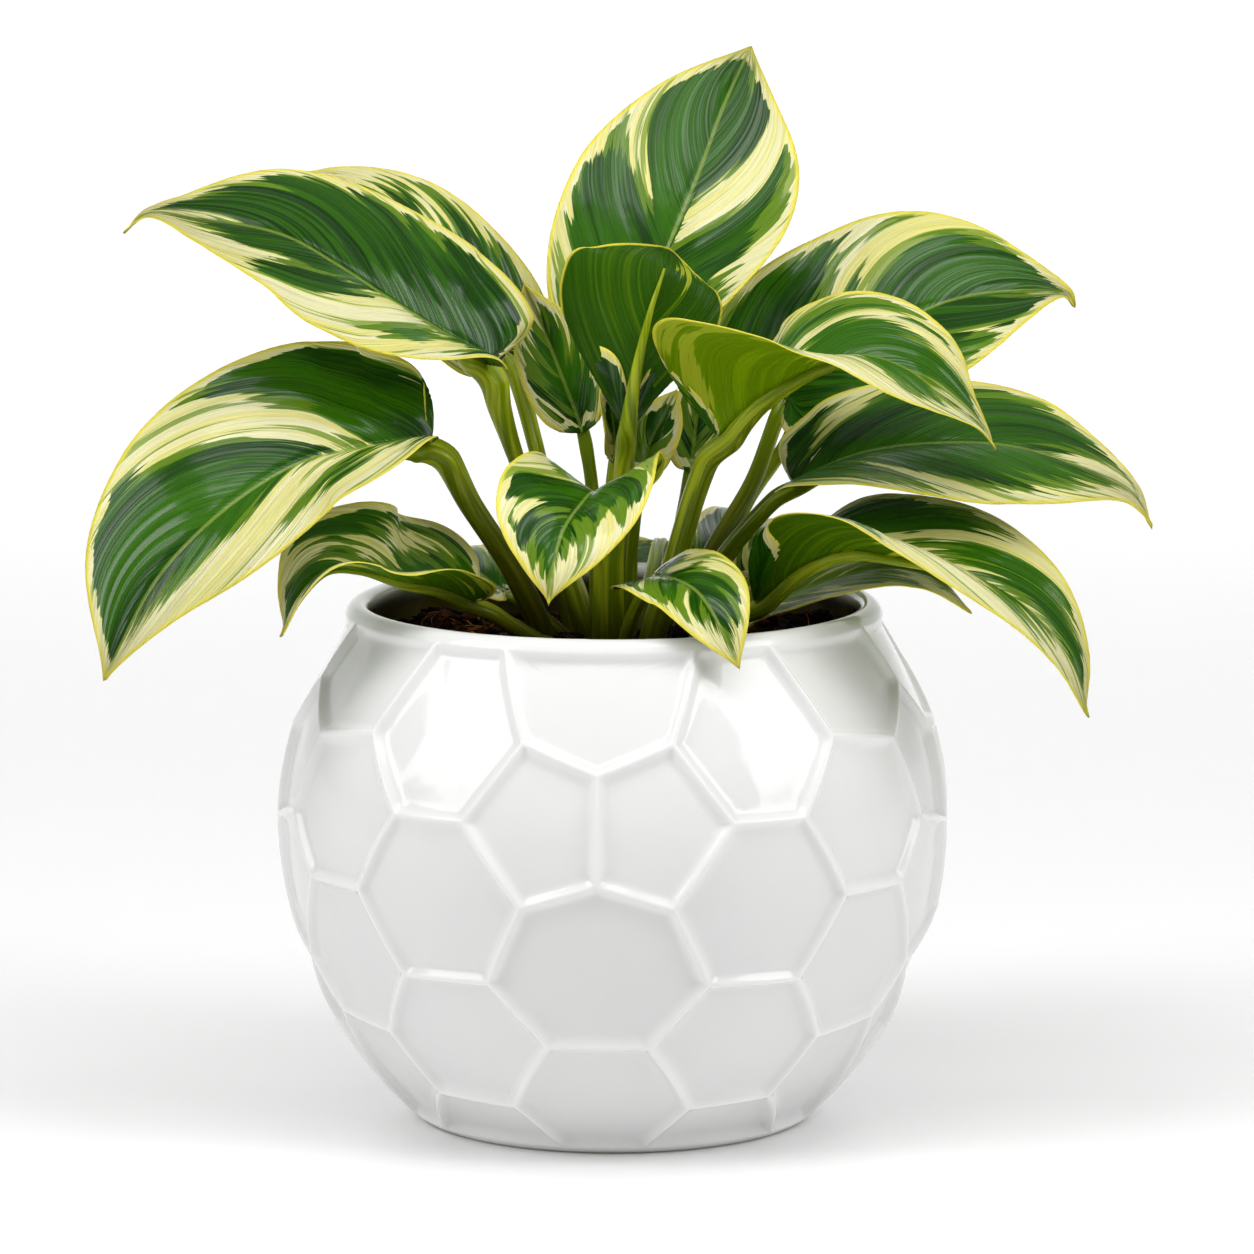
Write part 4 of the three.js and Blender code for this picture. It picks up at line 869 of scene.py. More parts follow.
# Corners of the net on one quarter of the bowl: degrees round from the front, and height. In the
# panels below, - marks a corner mirrored to the left and + one mirrored to the back.
CORNERS = {
    "rim1": (20, BAND), "rim2": (37, BAND), "rim3": (68.5, BAND),
    "upper0": (0, 88.7), "upper1": (13.4, 95), "upper2": (45.5, 94), "upper3": (62.4, 91),
    "shoulder1": (72.4, 101.4), "shoulder2": (82.4, 89),
    "middle1": (23.2, 78), "middle2": (36.6, 78), "middle3": (67.3, 73), "middle4": (81.5, 69),
    "waist0": (0, 65.3), "waist1": (12.7, 60), "waist2": (45.3, 60), "waist3": (60, 60),
    "low1": (19.5, 42.5), "low2": (37, 42), "low3": (69.7, 39.4), "low4": (84, 48),
    "knee1": (9.6, 28), "knee2": (46, 27), "knee3": (62.8, 28.7), "knee4": (79, 23),
    "base1": (20, 12), "base2": (40, 13),
    "foot1": (11, FOOT), "foot2": (52, FOOT), "foot3": (71, FOOT),
}
QUARTER_PANELS = [
    "rim1 rim2 upper2 middle2 middle1 upper1",
    "rim2 rim3 shoulder1 upper3 upper2",
    "upper0 upper1 middle1 waist1 waist0",
    "middle1 middle2 waist2 low2 low1 waist1",
    "upper2 upper3 middle3 waist3 waist2 middle2",
    "low1 low2 knee2 base2 base1 knee1",
    "waist2 waist3 low3 knee3 knee2 low2",
    "shoulder1 shoulder2 middle4 middle3 upper3",
    "middle3 middle4 low4 low3 waist3",
    "base1 base2 foot2 foot1",
    "knee2 knee3 foot3 foot2 base2",
    "low3 knee4 foot3 knee3",
]
FRONT_PANELS = [
    "-rim1 rim1 upper1 upper0 -upper1",
    "waist0 waist1 low1 knee1 -knee1 -low1 -waist1",
    "-knee1 knee1 base1 foot1 -foot1 -base1",
]
SIDE_PANELS = [
    "rim3 +rim3 +shoulder1 +shoulder2 shoulder2 shoulder1",
    "shoulder2 +shoulder2 +middle4 +low4 low4 middle4",
    "low4 +low4 +low3 +knee4 knee4 low3",
    "knee4 +knee4 +foot3 foot3",
]
# Front right, front left, back right and back left quarter, each with the panels it adds.
QUARTERS = [
    (lambda a: a, QUARTER_PANELS + FRONT_PANELS + SIDE_PANELS),
    (lambda a: -a, QUARTER_PANELS + SIDE_PANELS),
    (lambda a: 180 - a, QUARTER_PANELS + FRONT_PANELS),
    (lambda a: a - 180, QUARTER_PANELS),
]

# Radius and height from the band over the rolled rim and down the inner wall, and under the foot.
RIM_PROFILE = [
    (58.9, 114.9), (57.2, 115.8), (55.2, 115.3), (54.4, 113.6), (56.6, 109.6), (60.4, 100),
]
WALL_PROFILE = [(66.6, 80), (67, 56), (60, 28), (46, 8), (0, 6)]
FOOT_PROFILE = [(43.9, 0.5), (43.1, 0.02), (38.4, 0.02), (37.6, 0.9), (0, 0.9)]
RIM_STEP = 0.8
CREST_STEP = 1.8

# Rings of a panel: millimetres from the crest down the ridge, and shares of the rest of the way to
# the hub. The limits are the shares of the whole way that each kind of ring stops at.
RIDGE_RINGS = (0, 0.35, 0.7, 1.1, 1.5, 2.0, 2.7, 3.6)
FLOOR_RINGS = (0.12, 0.28, 0.46, 0.65, 0.84, 1)
RIDGE_LIMIT = 0.6
FLOOR_LIMIT = 0.97

# Glaze colour of the rim, inside and foot: this far from a ridge's painted highlight to a panel's
# painted shade.
RIM_SUNK = 0.3


def corner_place(name, turn):
    """Angle and height of a named corner on the quarter that the turn gives."""
    angle, z = CORNERS[name.strip("-+")]
    if name[0] == "-":
        return turn(-angle), z
    return turn(180 - angle if name[0] == "+" else angle), z


def crest_line(bowl, start, end):
    """Points of one ridge's crest, from its first corner up to but not with its last."""
    length = np.linalg.norm(bowl.at(*start) - bowl.at(*end))
    steps = max(1, round(length / CREST_STEP))
    f = np.arange(steps) / steps
    return bowl.at(start[0] + (end[0] - start[0]) * f, start[1] + (end[1] - start[1]) * f)


def edge_distance(places, loop):
    """Distance from each place to the nearest side of a closed loop."""
    a = loop[None]
    p = places[:, None]
    span = np.roll(loop, -1, axis=0)[None] - a
    run = np.clip(((p - a) * span).sum(-1) / np.maximum((span * span).sum(-1), 1e-9), 0, 1)
    return np.linalg.norm(p - a - span * run[..., None], axis=-1).min(1)


def pot_panel(bowl, names, turn, look):
    """One sunken panel: rings from the crest down the ridge and over a faintly domed floor."""
    places = [corner_place(name, turn) for name in names.split()]
    crest = np.vstack([crest_line(bowl, a, b) for a, b in zip(places, places[1:] + places[:1])])
    middle = crest.mean(0)
    heart = np.array([0, 0, bowl.waist])
    if np.cross(crest[0] - middle, crest[1] - middle) @ (middle - heart) < 0:
        crest = crest[::-1]
    hub = bowl.onto(middle[None])[0]
    radius = np.linalg.norm(crest - hub, axis=1)
    shares = [np.minimum(offset / radius, RIDGE_LIMIT) for offset in RIDGE_RINGS]
    shares += [shares[-1] + (FLOOR_LIMIT - shares[-1]) * f for f in FLOOR_RINGS]
    rings = np.array([crest + (hub - crest) * share[:, None] for share in shares])
    rings = bowl.onto(rings.reshape(-1, 3))
    ridge = look.ridge_width / MM / 2
    sunk = 1 - bell(edge_distance(rings, crest), 0.62 * ridge)
    inward = np.linalg.norm(rings - hub, axis=1) / np.tile(radius, len(shares))
    sag = 0.5 * np.linalg.norm(hub - middle) * max(0.0, 1 - 2 * ridge / radius.mean()) ** 2
    depth = sunk * (look.panel_depth / MM + sag * (1 - np.clip(inward, 0, 1) ** 3))
    points = rings - unit(rings - heart) * depth[:, None]
    centre = hub - unit(hub - heart) * (look.panel_depth / MM + sag)
    count = len(crest)
    faces = strip_faces(len(shares), count, True).tolist()
    last = (len(shares) - 1) * count
    faces += [[last + k, last + (k + 1) % count, len(points)] for k in range(count)]
    return np.vstack([points, centre]), faces, np.append(sunk, 1.0)


def ring_angles(bowl, names):
    """Angles of every crest point on one level ring of the net, in order round the pot."""
    places = sorted(corner_place(name, turn) for turn, _ in QUARTERS for name in names.split())
    places.append((places[0][0] + 360, places[0][1]))
    loop = np.vstack([crest_line(bowl, a, b) for a, b in zip(places, places[1:])])
    return np.arctan2(loop[:, 0], -loop[:, 1])


def turned(angles, profile):
    """Rings of points at the same angles, one for each radius and height."""
    sin, cos = np.sin(angles), np.cos(angles)
    return np.vstack([np.stack([r * sin, -r * cos, 0 * angles + z], -1) for r, z in profile])


def rounded_profile(corners, step):
    """A smooth run through the corners of a profile."""
    line = Spine([(r, 0, z) for r, z in corners], 0)
    point, _ = line.at(np.linspace(0, line.reach, max(2, round(line.reach / step)) + 1))
    return [(r, z) for r, _, z in point]


def pot_mesh(look):
    """The pot in one mesh, with how far each point lies from a ridge's crest towards a panel."""
    bowl = Bowl()
    parts = [pot_panel(bowl, panel, turn, look) for turn, panels in QUARTERS for panel in panels]
    rim, foot = (ring_angles(bowl, names) for names in ("rim1 rim2 rim3", "foot1 foot2 foot3"))
    lip = rounded_profile([(float(bowl.radius_at(BAND)), BAND)] + RIM_PROFILE, RIM_STEP)
    inner = turned(rim, lip + WALL_PROFILE)
    inner_faces = strip_faces(len(inner) // len(rim), len(rim), True).tolist()
    parts.append((inner, inner_faces, np.full(len(inner), RIM_SUNK)))
    base = turned(foot, [(float(bowl.radius_at(FOOT)), FOOT)] + FOOT_PROFILE)
    base_faces = flipped(strip_faces(len(base) // len(foot), len(foot), True))
    parts.append((base, base_faces, np.full(len(base), RIM_SUNK)))
    points, faces, sunk = joined(parts)
    points, faces, first = weld(points, faces)
    return points, faces, sunk[first]


# Heights of the mix at its edge and in the middle, the radius of its mound and of its top, and the
# radius and height of the corners of its wall.
SOIL_EDGE = 103.5
SOIL_CROWN = 107.5
SOIL_MOUND = 60.4
SOIL_RADIUS = 58.7
SOIL_WALL = [(60.05, 100), (66.25, 80), (66.65, 56), (59.65, 28), (45.65, 8.35), (0, 6.35)]


def soil_height(x, y):
    """The mounded, lumpy top of the potting mix, with the solid's mound and finer lumps."""
    rise = (SOIL_CROWN - SOIL_EDGE) * (1 - (x * x + y * y) / SOIL_MOUND ** 2)
    lump = 0.8 * np.sin(x * 0.31 + 1) * np.cos(y * 0.27 + x * 0.12)
    fine = 0.5 * wobble(x / 2.1, y / 2.1, 11, 4) + 0.35 * wobble(x / 0.8, y / 0.8, 12, 2)
    edge = 1 - smooth(0.93, 1, np.hypot(x, y) / SOIL_RADIUS)
    heap = 2.2 * np.exp(-((np.abs(x) - 40) / 13) ** 2 - ((y - 26) / 22) ** 2)
    clods = heap * (1 + 0.9 * wobble(x / 5.2, y / 5.2, 13, 3))
    return SOIL_EDGE + rise + lump * (0.4 + 0.6 * edge) + (fine + clods) * edge


def soil_mesh():
    """The potting mix: its lumpy top and the plain walls that follow the pot's."""
    sides, rings = 240, 66
    turn = np.arange(sides) / sides * FULL_TURN
    reach = np.concatenate([np.linspace(0, 1, rings)[:-1], [1]]) * SOIL_RADIUS
    top = turned(turn, [(r, 0) for r in reach])
    top[:, 2] = soil_height(top[:, 0], top[:, 1])
    points = np.vstack([top, turned(turn, SOIL_WALL)])
    return weld(points, flipped(strip_faces(len(points) // sides, sides, True)))[:2]


def lump_shape():
    """A small round form with 42 points, from an icosahedron divided once."""
    golden = (1 + 5 ** 0.5) / 2
    corners = []
    for a, b in ((-1, golden), (1, golden), (-1, -golden), (1, -golden)):
        corners += [(a, b, 0), (0, a, b), (b, 0, a)]
    points = [np.array(c, float) / np.linalg.norm(c) for c in corners]
    near = 1.1
    triples = []
    for i, j, k in itertools.combinations(range(len(points)), 3):
        a, b, c = points[i], points[j], points[k]
        if max(np.linalg.norm(a - b), np.linalg.norm(b - c), np.linalg.norm(a - c)) < near:
            outward = np.cross(b - a, c - a) @ a > 0
            triples.append((i, j, k) if outward else (i, k, j))
    middles = {}

    def middle(a, b):
        """Number of the point half way between two, which is made once."""
        key = (min(a, b), max(a, b))
        if key not in middles:
            middles[key] = len(points)
            points.append(unit(points[a] + points[b]))
        return middles[key]

    faces = []
    for a, b, c in triples:
        ab, bc, ca = middle(a, b), middle(b, c), middle(c, a)
        faces += [(a, ab, ca), (b, bc, ab), (c, ca, bc), (ab, bc, ca)]
    return np.array(points), faces


def scattered(random, count, reach):
    """Places on the soil, even over its area."""
    turn = random.uniform(0, FULL_TURN, count)
    r = reach * np.sqrt(random.uniform(0, 1, count))
    return r * np.cos(turn), r * np.sin(turn)


def crumb_mesh(count):
    """Bark chips and clods that lie half sunk in the mix."""
    random = np.random.default_rng(5)
    shape, faces = lump_shape()
    xs, ys = scattered(random, count, SOIL_RADIUS - 1.5)
    crumbs = []
    for x, y in zip(xs, ys):
        size = 0.45 + 1.5 * random.random() ** 2.2
        flat = random.uniform(0.45, 0.95)
        body = shape * (1 + 0.28 * random.uniform(-1, 1, (len(shape), 1)))
        body = body * (size * random.uniform(0.8, 1.5), size, size * flat)
        turn = random.uniform(0, FULL_TURN)
        lean = random.uniform(-0.5, 0.5)
        sin, cos = math.sin(lean), math.cos(lean)
        body = body @ np.array([(1, 0, 0), (0, cos, -sin), (0, sin, cos)])
        sin, cos = math.sin(turn), math.cos(turn)
        body = body @ np.array([(cos, -sin, 0), (sin, cos, 0), (0, 0, 1)])
        z = soil_height(x, y) + size * flat * random.uniform(0.05, 0.6)
        shade = np.full(len(shape), random.random())
        crumbs.append((body + np.array([x, y, z]), faces, shade))
    return joined(crumbs)


def fibre_line(random, at_left):
    """A bent line on the mix, with its radius, cut off where it would meet the pot."""
    steps = 9
    if at_left:
        x, y = random.normal(-38, 9), random.normal(-8, 16)
    else:
        x, y = (float(v[0]) for v in scattered(random, 1, SOIL_RADIUS - 5))
    heading, bend = random.uniform(0, FULL_TURN), random.uniform(-0.5, 0.5)
    length = random.uniform(4, 13)
    radius = random.uniform(0.1, 0.24)
    line = []
    for _ in range(steps):
        if math.hypot(x, y) > SOIL_RADIUS - 1.2:
            break
        line.append((x, y))
        x += math.cos(heading) * length / steps
        y += math.sin(heading) * length / steps
        heading += bend
    return np.array(line), radius


def fibre_mesh(count):
    """Coir fibres: thin bent strands that lie on the mix, two in three of them at the left."""
    random = np.random.default_rng(8)
    sides, fewest = 5, 4
    turn = np.arange(sides) / sides * FULL_TURN
    strands = []
    for k in range(count):
        line, radius = fibre_line(random, k % 3 > 0)
        if len(line) < fewest:
            continue
        arch = np.sin(np.linspace(0, math.pi, len(line))) * random.uniform(0.1, 1.1)
        z = soil_height(line[:, 0], line[:, 1]) + radius + arch
        centre = np.column_stack([line, z])
        along = unit(np.gradient(centre, axis=0))
        across = unit(np.cross(along, (0, 0, 1.0)))
        up = np.cross(across, along)
        ring = across[:, None] * np.cos(turn)[:, None] + up[:, None] * np.sin(turn)[:, None]
        rings = centre[:, None] + radius * ring
        faces = flipped(strip_faces(len(line), sides, True))
        faces += [list(range(sides)), [(len(line) - 1) * sides + s for s in range(sides)][::-1]]
        shade = np.full(len(line) * sides, random.random())
        strands.append((rings.reshape(-1, 3), faces, shade))
    return joined(strands)


class Socket:
    """An output of a node tree, so that shader maths reads as Python."""

    def __init__(self, graph, output):
        self.graph, self.output = graph, output

    def maths(self, operation, *values):
        """A Math node on these values."""
        return self.graph.node("ShaderNodeMath", {"operation": operation}, dict(enumerate(values)))

    def __add__(self, other):
        return self.maths("ADD", self, other)

    def __radd__(self, other):
        return self.maths("ADD", other, self)

    def __sub__(self, other):
        return self.maths("SUBTRACT", self, other)

    def __rsub__(self, other):
        return self.maths("SUBTRACT", other, self)

    def __mul__(self, other):
        return self.maths("MULTIPLY", self, other)

    def __rmul__(self, other):
        return self.maths("MULTIPLY", other, self)

    def __abs__(self):
        return self.maths("ABSOLUTE", self)

    def at_least(self, other):
        """The larger of the two."""
        return self.maths("MAXIMUM", self, other)


class Graph:
    """A material and its node tree."""

    mix_share, mix_first, mix_second, mix_colour = 0, 6, 7, 2

    def __init__(self, name):
        self.material = bpy.data.materials.new(name)
        self.material.use_nodes = True
        self.tree = self.material.node_tree
        self.tree.nodes.clear()

    def node(self, kind, settings, sockets, output=0):
        """Adds a node: its settings first, then the values or links of its sockets."""
        node = self.tree.nodes.new(kind)
        for name, value in settings.items():
            setattr(node, name, value)
        for key, value in sockets.items():
            if isinstance(value, Socket):
                self.tree.links.new(value.output, node.inputs[key])
            else:
                node.inputs[key].default_value = value
        return None if output is None else Socket(self, node.outputs[output])

    def value(self, name):
        """A number kept at each point of the mesh."""
        return self.node("ShaderNodeAttribute", {"attribute_name": name}, {}, "Fac")

    def place(self):
        """The place on the object, in metres."""
        return self.node("ShaderNodeTexCoord", {}, {}, "Object")

    def part(self, vector, axis):
        """One number of a vector."""
        return self.node("ShaderNodeSeparateXYZ", {}, {"Vector": vector}, axis)

    def vector(self, x, y, z):
        """A vector of three numbers."""
        return self.node("ShaderNodeCombineXYZ", {}, {"X": x, "Y": y, "Z": z})

    def noise(self, vector, scale, detail=2.0, roughness=0.5):
        """Soft noise round 0.5."""
        sockets = {"Vector": vector, "Scale": scale, "Detail": detail, "Roughness": roughness}
        return self.node("ShaderNodeTexNoise", {}, sockets)

    def leaf_noise(self, across, along, seed, detail=2.0, roughness=0.5):
        """Noise by places across and along the veins, which makes streaks where they differ."""
        return self.noise(self.vector(across, along, seed), 1.0, detail, roughness)

    def cells(self, vector, scale):
        """Distance to the nearest of many scattered points."""
        return self.node("ShaderNodeTexVoronoi", {}, {"Vector": vector, "Scale": scale})

    def step(self, low, high, value):
        """A soft step from 0 at low to 1 at high."""
        sockets = {"Value": value, "From Min": low, "From Max": high}
        return self.node("ShaderNodeMapRange", {"interpolation_type": "SMOOTHSTEP"}, sockets)

    def mix(self, first, second, share):
        """A colour between two colours."""
        first, second = (c if isinstance(c, Socket) else (*c, 1) for c in (first, second))
        sockets = {self.mix_share: share, self.mix_first: first, self.mix_second: second}
        return self.node("ShaderNodeMix", {"data_type": "RGBA"}, sockets, self.mix_colour)

    def bump(self, height, distance):
        """Fine relief in the surface's direction only."""
        return self.node("ShaderNodeBump", {}, {"Height": height, "Distance": distance})

    def finish(self, sockets):
        """Ends the tree in a shader with these sockets."""
        shader = self.node("ShaderNodeBsdfPrincipled", {}, sockets)
        self.node("ShaderNodeOutputMaterial", {}, {"Surface": shader}, output=None)
        return self.material


def leaf_material(look):
    """Green blade with cream patches ragged along the veins, a yellow edge, and the petiole."""
    g = Graph("variegated_leaf")
    vein, out = g.value("vein"), g.value("out")
    pale, under, stalk = g.value("pale"), g.value("under"), g.value("stalk")
    brown, seed, to_edge = g.value("brown"), g.value("seed"), g.value("to_edge")
    tone, lit = g.value("tone"), g.value("lit")
    lines = g.leaf_noise(vein * 1.4, out * 0.04, seed, 2.0, 0.55)
    bands = g.leaf_noise(vein * 0.42, out * 0.028, seed + 3.1)
    patches = g.leaf_noise(vein * 0.3, out * 0.035, seed + 9.3, 1.0)
    clouds = g.leaf_noise(vein * 0.07, out * 0.05, seed + 5.7)

    # Where the cream is: the patches and a margin about 2 mm wide, both with ragged edges, and a
    # brighter green beside them.
    ragged = (lines - 0.5) * 1.6 + (bands - 0.5) * 6.4
    patch = g.step(-0.13, 0.13, pale + ragged)
    margin = g.step(-0.1, 0.1, 2.1 - to_edge + ragged * 0.5)
    cream = patch.at_least(margin)
    near_cream = g.step(-0.15, 0.15, pale + 0.9 + (lines - 0.5) * 2.6 + (patches - 0.5) * 7.0)

    # The green, from its broad tone down to fine lines.
    green = g.mix(look.dark_green, look.mid_green, g.step(0.4, 0.62, clouds + tone))
    blotches = g.step(0.55, 0.575, patches + (lines - 0.5) * 0.12)
    green = g.mix(green, look.mid_green, blotches * 0.55)
    green = g.mix(green, look.mid_green, g.step(0.52, 0.62, lines) * 0.45)
    green = g.mix(green, look.deep_green, g.step(0.56, 0.68, 1 - lines) * 0.55)
    green = g.mix(green, look.sage, near_cream * 0.85)
    green = g.mix(green, look.light_green, lit)

    # The cream, with green fingers that reach into it.
    pale_colour = g.mix(look.cream, look.straw, g.step(0.42, 0.66, bands))
    pale_colour = g.mix(pale_colour, look.lime, g.step(0.54, 0.66, lines) * 0.4)
    fingers = g.step(0.6, 0.615, patches + (lines - 0.5) * 0.4)
    pale_colour = g.mix(pale_colour, look.light_green, fingers * 0.85)

    face = g.mix(green, pale_colour, cream)
    rib = (1 - g.step(0.25, 0.6, abs(out))) * 0.6
    face = g.mix(face, look.rib_green, rib)
    edge = 1 - g.step(0.4, 1.25, to_edge + (bands - 0.5) * 1.4)
    face = g.mix(face, look.edge_yellow, edge * 0.9)

    # The underside shows the patches more faintly, and a thinner yellow edge.
    through = g.step(0.5, 0.72, bands) * 0.3 + (lines - 0.5) * 0.35 + tone
    back = g.mix(look.under_green, look.under_light, through)
    back = g.mix(back, look.under_cream, patch * 0.75)
    back = g.mix(back, look.edge_yellow, (1 - g.step(0.3, 0.75, to_edge)) * 0.8)
    face = g.mix(face, back, under)

    grain = g.leaf_noise(vein * 0.6, out * 0.04, seed)
    petiole = g.mix(look.petiole, look.petiole_light, g.step(0.4, 0.66, grain))
    petiole = g.mix(petiole, look.petiole_base, brown * 0.85)
    colour = g.mix(face, petiole, stalk)

    # Fine ribbing breaks the shine up. The underside is dull, the petiole less so.
    height = g.leaf_noise(vein * 1.5, out * 0.05, seed + 1.3, 3.0, 0.6)
    pores = g.noise(g.place(), 2600.0, 1.0)
    normal = g.bump(height * (1 - 0.8 * stalk) + pores * 0.04, 0.0008)
    dull = under * (1 - 0.6 * stalk)
    rough = 0.25 + 0.14 * g.step(0.3, 0.7, lines) + 0.18 * dull
    sheen = (0.2 + 0.8 * g.step(0.44, 0.62, height)) * (1 - 0.85 * dull) * (1 - lit)
    return g.finish({
        "Base Color": colour, "Roughness": rough, "Normal": normal, "IOR": 1.16,
        "Coat Weight": sheen, "Coat Roughness": 0.12, "Coat IOR": 1.42,
        "Subsurface Weight": 0.04, "Subsurface Radius": (0.6, 1.0, 0.1), "Subsurface Scale": 0.001,
    })


def glaze_material(look):
    """White glaze: a painted highlight on the ridges, painted light towards the rim, painted shade
    in the panels, painted shade and reflection inside, bare under the foot.
    """
    g = Graph("white_glaze")
    place = g.place()
    sunk = g.value("sunk")
    cloud = g.noise(place, 38.0, 3.0)
    # Painted highlight on the ridges and painted shade down in the sunken panels, mottled there.
    ridge_highlight_panel_shade = g.mix(look.ridge_highlight_and_speck_glaze, look.glaze, sunk)
    colour = g.mix(ridge_highlight_panel_shade, look.panel_shade_glaze, g.step(0.45, 0.75, cloud) * 0.35 * sunk)
    # Painted light: the glaze is made lighter towards the rim, where the top catches more light.
    colour = g.mix(colour, look.painted_top_light, g.step(0.05, 0.108, g.value("high")) * 0.85)
    specks = g.cells(place, 420.0)
    # Pale specks in the glaze, in the ridges' colour.
    colour = g.mix(colour, look.ridge_highlight_and_speck_glaze, (1 - g.step(0.02, 0.06, specks)) * 0.25)
    # Painted shade and reflection of the leaves on the inner wall, a little mottled.
    inner_wall_shade = g.value("stained") * (0.85 + 0.15 * g.step(0.3, 0.7, cloud))
    colour = g.mix(colour, look.inner_wall_shade, inner_wall_shade)
    bare = 1 - g.step(0.0001, 0.0004, g.value("high"))
    colour = g.mix(colour, look.bare_clay, bare)
    wave = g.noise(place, 90.0, 2.0) + 0.06 * g.noise(place, 900.0, 2.0)
    rough = 0.09 + 0.05 * g.step(0.35, 0.7, cloud) + 0.6 * bare
    return g.finish({
        "Base Color": colour, "Roughness": rough, "Normal": g.bump(wave, 0.00025),
        "Coat Weight": 0.3, "Coat Roughness": 0.04, "IOR": 1.34,
    })


def soil_material(look):
    """Dark damp mix: a shade over 0 marks a crumb, and each crumb has its own brown."""
    g = Graph("potting_mix")
    place = g.place()
    grit = g.noise(place, 900.0, 4.0, 0.65)
    clod = g.noise(place, 240.0, 3.0, 0.6)
    colour = g.mix(look.dark_soil, look.brown_soil, g.step(0.42, 0.68, clod))
    colour = g.mix(colour, look.brown_soil, g.step(0.55, 0.75, grit) * 0.5)
    shade = g.value("shade")
    chip = g.mix(look.dark_soil, look.bark, g.step(0.62, 1.0, shade) * g.step(0.3, 0.7, grit))
    colour = g.mix(colour, chip, g.step(0.0, 0.05, shade) * 0.85)
    rough = 0.78 + 0.17 * grit
    return g.finish({
        "Base Color": colour, "Roughness": rough, "Normal": g.bump(grit + clod, 0.0006),
        "Specular IOR Level": 0.06,
    })


def fibre_material(look):
    """Coir: each fibre between a light and a dark brown, with darker grit on it."""
    g = Graph("coir_fibre")
    grit = g.noise(g.place(), 700.0, 3.0, 0.6)
    colour = g.mix(look.dark_coir, look.coir, g.step(0.2, 0.8, g.value("shade")))
    colour = g.mix(colour, look.dark_coir, g.step(0.5, 0.75, grit) * 0.6)
    normal = g.bump(grit, 0.0001)
    rough = 0.6 + 0.25 * grit
    return g.finish({
        "Base Color": colour, "Roughness": rough, "Normal": normal, "Specular IOR Level": 0.1,
    })


def backdrop_material(look):
    """Pale paper that glows a little, more towards the wall."""
    g = Graph("studio_paper")
    place = g.place()
    grain = g.noise(place, 30.0, 2.0)
    colour = g.mix(look.floor, look.floor_shade, g.step(0.3, 0.7, grain) * 0.15)
    glow = g.mix(look.floor_glow, look.floor, g.step(0.25, 1.6, g.part(place, "Y")))
    return g.finish({
        "Base Color": colour, "Roughness": 0.35 + 0.05 * grain,
        "Emission Color": glow, "Emission Strength": look.wall_glow,
    })


def colour_setting(name, description, display):
    """A colour that a user can change, from display values."""
    return bpy.props.FloatVectorProperty(
        name=name, description=description, subtype="COLOR", size=3, min=0, max=1,
        default=srgb(*display))


def length_setting(name, description, millimetres):
    """A length that a user can change."""
    return bpy.props.FloatProperty(
        name=name, description=description, subtype="DISTANCE", unit="LENGTH", min=0,
        default=millimetres * MM)


def count_setting(name, description, default):
    """A number of pieces that a user can change."""
    return bpy.props.IntProperty(name=name, description=description, min=0, default=default)


def light_setting(name, description, default, subtype="NONE"):
    """A power or a strength of light that a user can change."""
    return bpy.props.FloatProperty(
        name=name, description=description, subtype=subtype, min=0, default=default)


class POTHOS_PG_pot(bpy.types.PropertyGroup):
    panel_depth: length_setting("Panel depth", "How far the panels lie under the ridges", 1.5)
    ridge_width: length_setting("Ridge width", "Width of a ridge from panel to panel", 4.2)
    # Painted shade: the panels' glaze is darker than the ridges'.
    glaze: colour_setting("Glaze", "Glaze in the panels", (226, 226, 225))
    # Painted highlight: the ridges are paler; this colour also makes the pale specks.
    ridge_highlight_and_speck_glaze: colour_setting("Thin glaze", "Glaze on the ridges", (238, 238, 237))
    # Painted shade: mottled darker patches down in the panels.
    panel_shade_glaze: colour_setting("Pooled glaze", "Thickest glaze", (220, 221, 222))
    # Painted light: the glaze is lighter towards the rim.
    painted_top_light: colour_setting("Shoulder glaze", "Glaze towards the rim", (242, 242, 241))
    # Painted shade and reflection of the leaves on the inner wall.
    inner_wall_shade: colour_setting("Stain", "Where wet mix has touched the inner wall", (112, 98, 10))
    bare_clay: colour_setting("Bare clay", "Unglazed foot ring", (214, 203, 188))


class POTHOS_PG_soil(bpy.types.PropertyGroup):
    crumbs: count_setting("Crumbs", "Loose chips on the mix", 1000)
    fibres: count_setting("Fibres", "Coir fibres on the mix", 170)
    dark_soil: colour_setting("Dark mix", "Damp peat", (20, 11, 6))
    brown_soil: colour_setting("Brown mix", "Drier mix", (46, 27, 12))
    bark: colour_setting("Bark", "Bark chips", (124, 66, 24))
    coir: colour_setting("Coir", "Light fibre", (176, 110, 48))
    dark_coir: colour_setting("Dark coir", "Dark fibre", (96, 58, 28))


